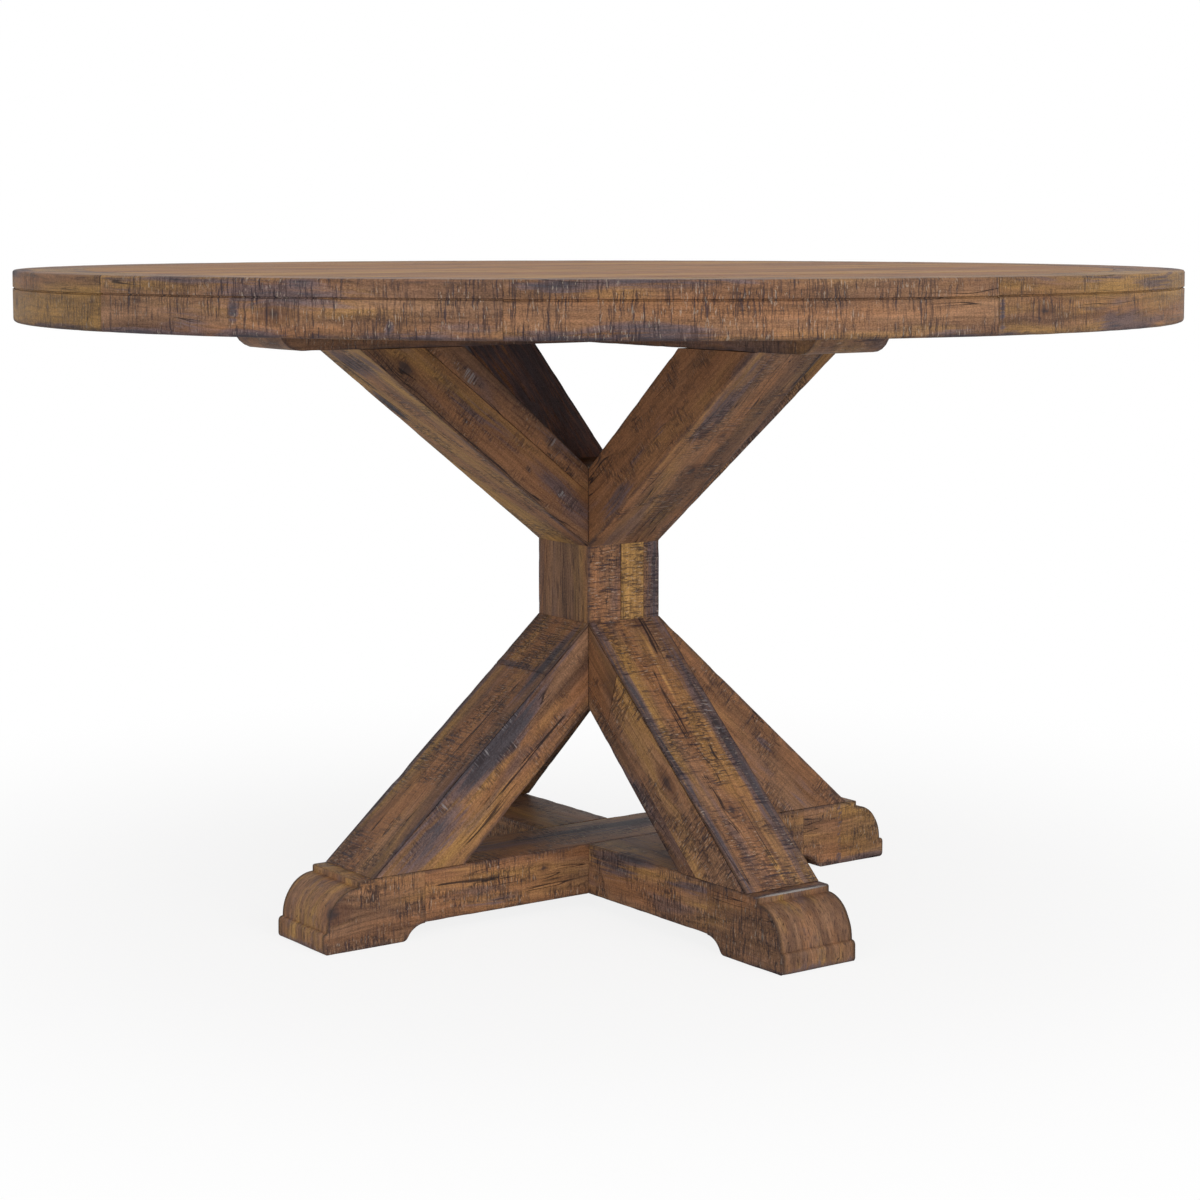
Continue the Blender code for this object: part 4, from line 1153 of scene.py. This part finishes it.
def rim_marks(number, length):
    """Marks of one rim board; length is in millimetres."""
    patches = [(share * length, 0, 0, (reach, 10, 50), 0.8) for share, reach in RIM_STAINS[number]]
    patches += [(0.3 * length, 58, 0, (120, 10, 30), 0.75), *RIM_BLOTS.get(number, ())]
    golden = [(0.55 * length, 4, 0, (50, 12, 50), 0.45)]
    return {"patches": patches,
            "knots": RIM_KNOTS.get(number, [(0.42 * length, 25, 0, 8)]),
            "warm": RIM_WARM.get(number, [(0.6 * length, 50, 0, (150, 20, 50), 0.2)]),
            "bright": golden if number in GOLDEN_EDGES else ()}


print("rim seams at", [round(seam, 1) for seam in SEAMS[:-1]], "degrees")

# %% Spin the nine rim boards
RIM_FACET = 0.45
RIM_JOINT = 0.00012
END_BEVEL = 0.0003
TOP_SKIN, TOP_CLEAR, END_CLEAR = 0.0025, 0.005, 0.005
RIM_WEAR, RIM_SEED = (0.0003, 0.0009), 61.0
BACK_TURN = 0.1


def rim_board(number, start, end):
    gap = RIM_JOINT / RIM_RADIUS
    turn = Matrix.Rotation(start + gap / 2, 4, "Z")
    bm = bmesh.new()
    face = bm.faces.new([bm.verts.new(turn @ Vector((r, 0, z))) for r, z in rim_section(LINE_STEPS[number])])
    bmesh.ops.spin(bm, geom=[face, *face.edges, *face.verts], cent=(0, 0, 0), axis=(0, 0, 1),
                   angle=end - start - gap, steps=round(math.degrees(end - start) / RIM_FACET),
                   use_duplicate=False)
    bmesh.ops.recalc_face_normals(bm, faces=bm.faces)
    caps = [face for face in bm.faces if len(face.verts) > 8]
    bevel(bm, list({edge for cap in caps for edge in cap.edges}), END_BEVEL, 1)
    return settle(bm, "rim")


for number in range(len(RIM_TONES)):
    start, end = math.radians(SEAMS[number]), math.radians(SEAMS[number + 1])
    length = (end - start) * RIM_RADIUS
    segment = rim_board(number, start, end)
    x, y, z = coordinates(segment).T
    inwards = RIM_RADIUS - np.hypot(x, y)
    angle = (np.arctan2(y, x) - start + BACK_TURN) % (2 * math.pi) - BACK_TURN
    place = np.stack((angle * RIM_RADIUS, z - RIM_BOTTOM, inwards), axis=1)
    arris = np.minimum(np.hypot(inwards, TOP_Z - z), np.hypot(inwards, z - RIM_BOTTOM))
    # the top face stays clean, and the butts are less worn than the long arrises
    arris[z > TOP_Z - TOP_SKIN] += TOP_CLEAR
    arris = np.minimum(arris, np.minimum(place[:, 0], length - place[:, 0]) + END_CLEAR)
    marks = rim_marks(number, MM * length)
    board = dress(segment, place, arris, RIM_TONES[number], RIM_SEED + number, marks, RIM_WEAR)
    finish_piece(f"rim_segment_{number + 1}", [board], "rim_wood")

# %% [markdown]
# ## Planks of the top
# Nine planks fill the rim. Each is a grid whose rows are stretched to the circle, pushed down to its
# thickness, with the long upper edges eased so that the seams show. Cutting one round board with
# lines would leave no eased edges, and a boolean would leave long thin faces at the circle.

# %% The nine planks
PLANK_TONES = [(0.95, 0.2, 0.3), (1.03, 0.4, 0.4), (0.92, 0.1, 0.3), (1.0, 0.5, 0.3), (1.06, 0.3, 0.4),
               (0.94, 0.2, 0.4), (1.02, 0.55, 0.3), (0.97, 0.1, 0.4), (1.0, 0.3, 0.3)]
PLANK_KNOTS = {1: [(120, 60, 0, 10)], 2: [(-300, 90, 0, 12)], 3: [(360, 40, 0, 9)],
               4: [(-100, 70, 0, 12), (450, 100, 0, 8)], 5: [(200, 30, 0, 10)],
               6: [(-410, 60, 0, 11)], 7: [(20, 100, 0, 10)]}
WARM_ALL_OVER = [(0, 0, 0, (3000, 3000, 3000), 0.6)]
PLANK_WIDTH = 2 * FIELD_RADIUS / len(PLANK_TONES)
PLANK_CELL, PLANK_ROWS, PLANK_EASE = 0.008, 20, 0.0012
FIELD_EDGE = FIELD_RADIUS - GAP
TIP = 0.0006
PLANK_WEAR, PLANK_SEED = (0.0003, 0.0006), 81.0


def plank_reach(y):
    return math.sqrt(max(FIELD_EDGE ** 2 - y ** 2, 0.0))


def plank_board(low, high):
    widest = max(plank_reach(low), plank_reach(high), plank_reach(0.0) if low * high < 0 else 0.0)
    bm = bmesh.new()
    bmesh.ops.create_grid(bm, x_segments=round(2 * widest / PLANK_CELL), y_segments=PLANK_ROWS, size=1.0)
    for vert in bm.verts:
        y = low + (high - low) * (vert.co.y + 1) / 2
        vert.co = (vert.co.x * plank_reach(y), y, TOP_Z)
    thicken(bm, (0, 0, PLANK_BOTTOM - TOP_Z))
    rims = [edge for edge in bm.edges if all(vert.co.z > TOP_Z - 0.001 for vert in edge.verts)
            and any(abs(face.normal.z) < 0.5 for face in edge.link_faces)]
    bevel(bm, rims, PLANK_EASE, 2)
    return settle(bm, "plank")


for number, tone in enumerate(PLANK_TONES):
    low = -FIELD_RADIUS + number * PLANK_WIDTH + GAP / 2
    high = low + PLANK_WIDTH - GAP
    low, high = max(low, TIP - FIELD_EDGE), min(high, FIELD_EDGE - TIP)
    plank = plank_board(low, high)
    x, y, z = coordinates(plank).T
    place = np.stack((x, y - low, TOP_Z - z), axis=1)
    marks = {"knots": PLANK_KNOTS.get(number, ()), "warm": WARM_ALL_OVER}
    arris = np.minimum(y - low, high - y)
    board = dress(plank, place, arris, tone, PLANK_SEED + number, marks, PLANK_WEAR)
    finish_piece(f"top_plank_{number + 1}", [board], "top_wood")

# %% [markdown]
# ## Bolts, inserts and glides
# The fasteners keep their solids, whose shape is right, and only get finishes: zinc with a faint
# cloudy passivation, brass with darker patches, and nylon with a fine moulded grain. One recipe with
# two colours and two noises is enough for pieces this small.

# %% Finishes of the hardware
BRASS, DARK_BRASS = stain(206, 176, 104), stain(160, 128, 70)
ZINC, DARK_ZINC = stain(196, 198, 200), stain(158, 161, 166)
NYLON, DARK_NYLON = stain(50, 50, 52), stain(38, 38, 40)


def mottled(name, light, dark, metallic, smooth, rough, scale):
    material, shader, start = blank_material(name)
    spot = start.node("ShaderNodeTexCoord", {}, {}, "Object")
    clouds = spot.cloud(scale, scale, 0.0, 4.0, 0.6)
    grit = spot.cloud(scale * 12, scale * 12, 5.0)
    clouds.rise(0.35, 0.65).over(light, dark).feed(shader, "Base Color")
    sheen = clouds * (rough - smooth) + smooth + grit * 0.08
    sheen.feed(shader, "Roughness")
    shader.inputs["Metallic"].default_value = metallic
    bump = grit.node("ShaderNodeBump", {}, {"Strength": 0.35, "Distance": 0.0002, "Height": grit})
    bump.feed(shader, "Normal")
    return material


HARDWARE = {
    "top_bolt": mottled("zinc_steel_finish", ZINC, DARK_ZINC, 1.0, 0.26, 0.42, 160.0),
    "top_insert": mottled("insert_brass_finish", BRASS, DARK_BRASS, 1.0, 0.28, 0.45, 200.0),
    "glide_insert": mottled("socket_brass_finish", BRASS, DARK_BRASS, 1.0, 0.28, 0.45, 200.0),
    "glide": mottled("glide_nylon_finish", NYLON, DARK_NYLON, 0.0, 0.45, 0.6, 120.0),
}
finished = 0
for node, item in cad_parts.items():
    kind = next((kind for kind in HARDWARE if node.startswith(kind)), None)
    if kind:
        item.material_slots[0].material = HARDWARE[kind]
        finished += 1
print("hardware nodes with a finish:", finished)

# %% [markdown]
# ## Floor
# The photo is a cut-out on white. A pale floor catches a soft shadow and fades to white, so that the
# table still stands on something. It glows only for the camera: as a lamp it would light the table
# from below.

# %% Floor
FLOOR_RADIUS = 14.0
WHITE = (1.0, 1.0, 1.0, 1.0)
bm = bmesh.new()
bmesh.ops.create_circle(bm, cap_ends=True, segments=96, radius=FLOOR_RADIUS)
floor = bpy.data.objects.new("floor", settle(bm, "floor"))
bpy.context.scene.collection.objects.link(floor)
paper, paper_shader, start = blank_material("pale_paper")
paper_shader.inputs["Base Color"].default_value = (0.86, 0.86, 0.86, 1.0)
paper_shader.inputs["Roughness"].default_value = 0.9
paper_shader.inputs["Specular IOR Level"].default_value = 0.0
place = start.node("ShaderNodeTexCoord", {}, {}, "Object")
away = place.node("ShaderNodeVectorMath", {"operation": "LENGTH"}, {0: place}, "Value")
seen = start.node("ShaderNodeLightPath", {}, {}, "Is Camera Ray")
share = (away.rise(0.5, 1.5) * 0.15 + 0.85) * seen
glow = start.node("ShaderNodeEmission", {}, {"Color": WHITE, "Strength": 1.0}, "Emission")
matt = Wire(paper.node_tree, paper_shader.outputs[0])
mixed = start.node("ShaderNodeMixShader", {}, {0: share, 1: matt, 2: glow})
mixed.feed(paper.node_tree.nodes["Material Output"], "Surface")
floor.data.materials.append(paper)
floor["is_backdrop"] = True
print("floor radius", FLOOR_RADIUS, "m")

# %% [markdown]
# ## Surround
# A white surround lights the table evenly, as a photo tent does. The camera and reflections see it at
# full white, and for all other light it is half as strong, because the lamps do the rest.

# %% Surround
AMBIENT = 0.50
world = bpy.data.worlds.new("white_surround")
world.use_nodes = True
bpy.context.scene.world = world
sky = Wire(world.node_tree)
paths = sky.node("ShaderNodeLightPath", {}, {}).socket.node.outputs
camera_ray, glossy_ray, clear_ray = (Wire(world.node_tree, paths[f"Is {kind} Ray"])
                                     for kind in ("Camera", "Glossy", "Transmission"))
direct = camera_ray.larger(glossy_ray.larger(clear_ray))
soft = sky.node("ShaderNodeBackground", {}, {"Color": WHITE, "Strength": AMBIENT})
white = sky.node("ShaderNodeBackground", {}, {"Color": WHITE, "Strength": 1.0})
both = sky.node("ShaderNodeMixShader", {}, {0: direct, 1: soft, 2: white})
both.feed(world.node_tree.nodes["World Output"], "Surface")
print("surround at", AMBIENT, "of white")

# %% [markdown]
# ## Camera
# The camera was fitted to the rim, the post, the arms and the feet on the photo. It stands about
# 3.2 m away, a little above the top, and looks down by five degrees. The small shift is what the
# photo's own framing needs.

# %% Camera
CAMERA_YAW = math.radians(35.70)
CAMERA_PITCH = math.radians(5.0)
CAMERA_AWAY, CAMERA_HEIGHT = 3.244, 0.8132
FOCAL_PIXELS, CENTRE_X, CENTRE_Y, FRAME_PIXELS = 2705.9, 598.63, 461.56, 1200
camera_data = bpy.data.cameras.new("photo_camera")
camera_data.sensor_width = 36.0
camera_data.lens = FOCAL_PIXELS / FRAME_PIXELS * camera_data.sensor_width
camera_data.shift_x = (FRAME_PIXELS / 2 - CENTRE_X) / FRAME_PIXELS
camera_data.shift_y = (CENTRE_Y - FRAME_PIXELS / 2) / FRAME_PIXELS
camera = bpy.data.objects.new("photo_camera", camera_data)
bpy.context.scene.collection.objects.link(camera)
towards = Vector((math.sin(CAMERA_YAW), math.cos(CAMERA_YAW), 0))
rightwards = Vector((math.cos(CAMERA_YAW), -math.sin(CAMERA_YAW), 0))
camera.location = -towards * CAMERA_AWAY + Vector((0, 0, CAMERA_HEIGHT))
camera.rotation_euler = (math.pi / 2 - CAMERA_PITCH, 0, -CAMERA_YAW)
bpy.context.scene.camera = camera
print("camera lens", round(camera_data.lens, 2), "mm")

# %% [markdown]
# ## Lamps
# The photo's light is soft, from the front and a little from the right, with only faint shadows. Two
# large lamps stand beside the camera, the right one stronger, and a third hangs over the top.

# %% Lamps
# away from the camera, to the right and up, all in metres, then size and watts
LAMPS = {
    "key": (-2.6, 2.0, 1.6, 2.2, 56.0),
    "fill": (-2.8, -2.0, 0.9, 2.2, 30.0),
    "over": (0.4, 0.0, 3.2, 2.6, 26.0),
}
AIM = Vector((0, 0, 0.42))
for name, (ahead, right, up, size, watts) in LAMPS.items():
    lamp_data = bpy.data.lights.new(f"{name}_lamp", "AREA")
    lamp_data.shape = "SQUARE"
    lamp_data.size = size
    lamp_data.energy = watts
    lamp = bpy.data.objects.new(f"{name}_lamp", lamp_data)
    lamp.location = towards * ahead + rightwards * right + Vector((0, 0, up))
    lamp.rotation_euler = (AIM - lamp.location).to_track_quat("-Z", "Y").to_euler()
    bpy.context.scene.collection.objects.link(lamp)
bpy.context.scene.view_settings.view_transform = "Standard"
print("lamps", list(LAMPS))

# %% [markdown]
# ## Size of the dressed table
# The dressed table has to stay inside the box of the solids. The box of the dressed pieces is printed.

# %% Print the box of the dressed table
low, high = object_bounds()
print("visual box", [round(v, 4) for v in (*low, *high)])
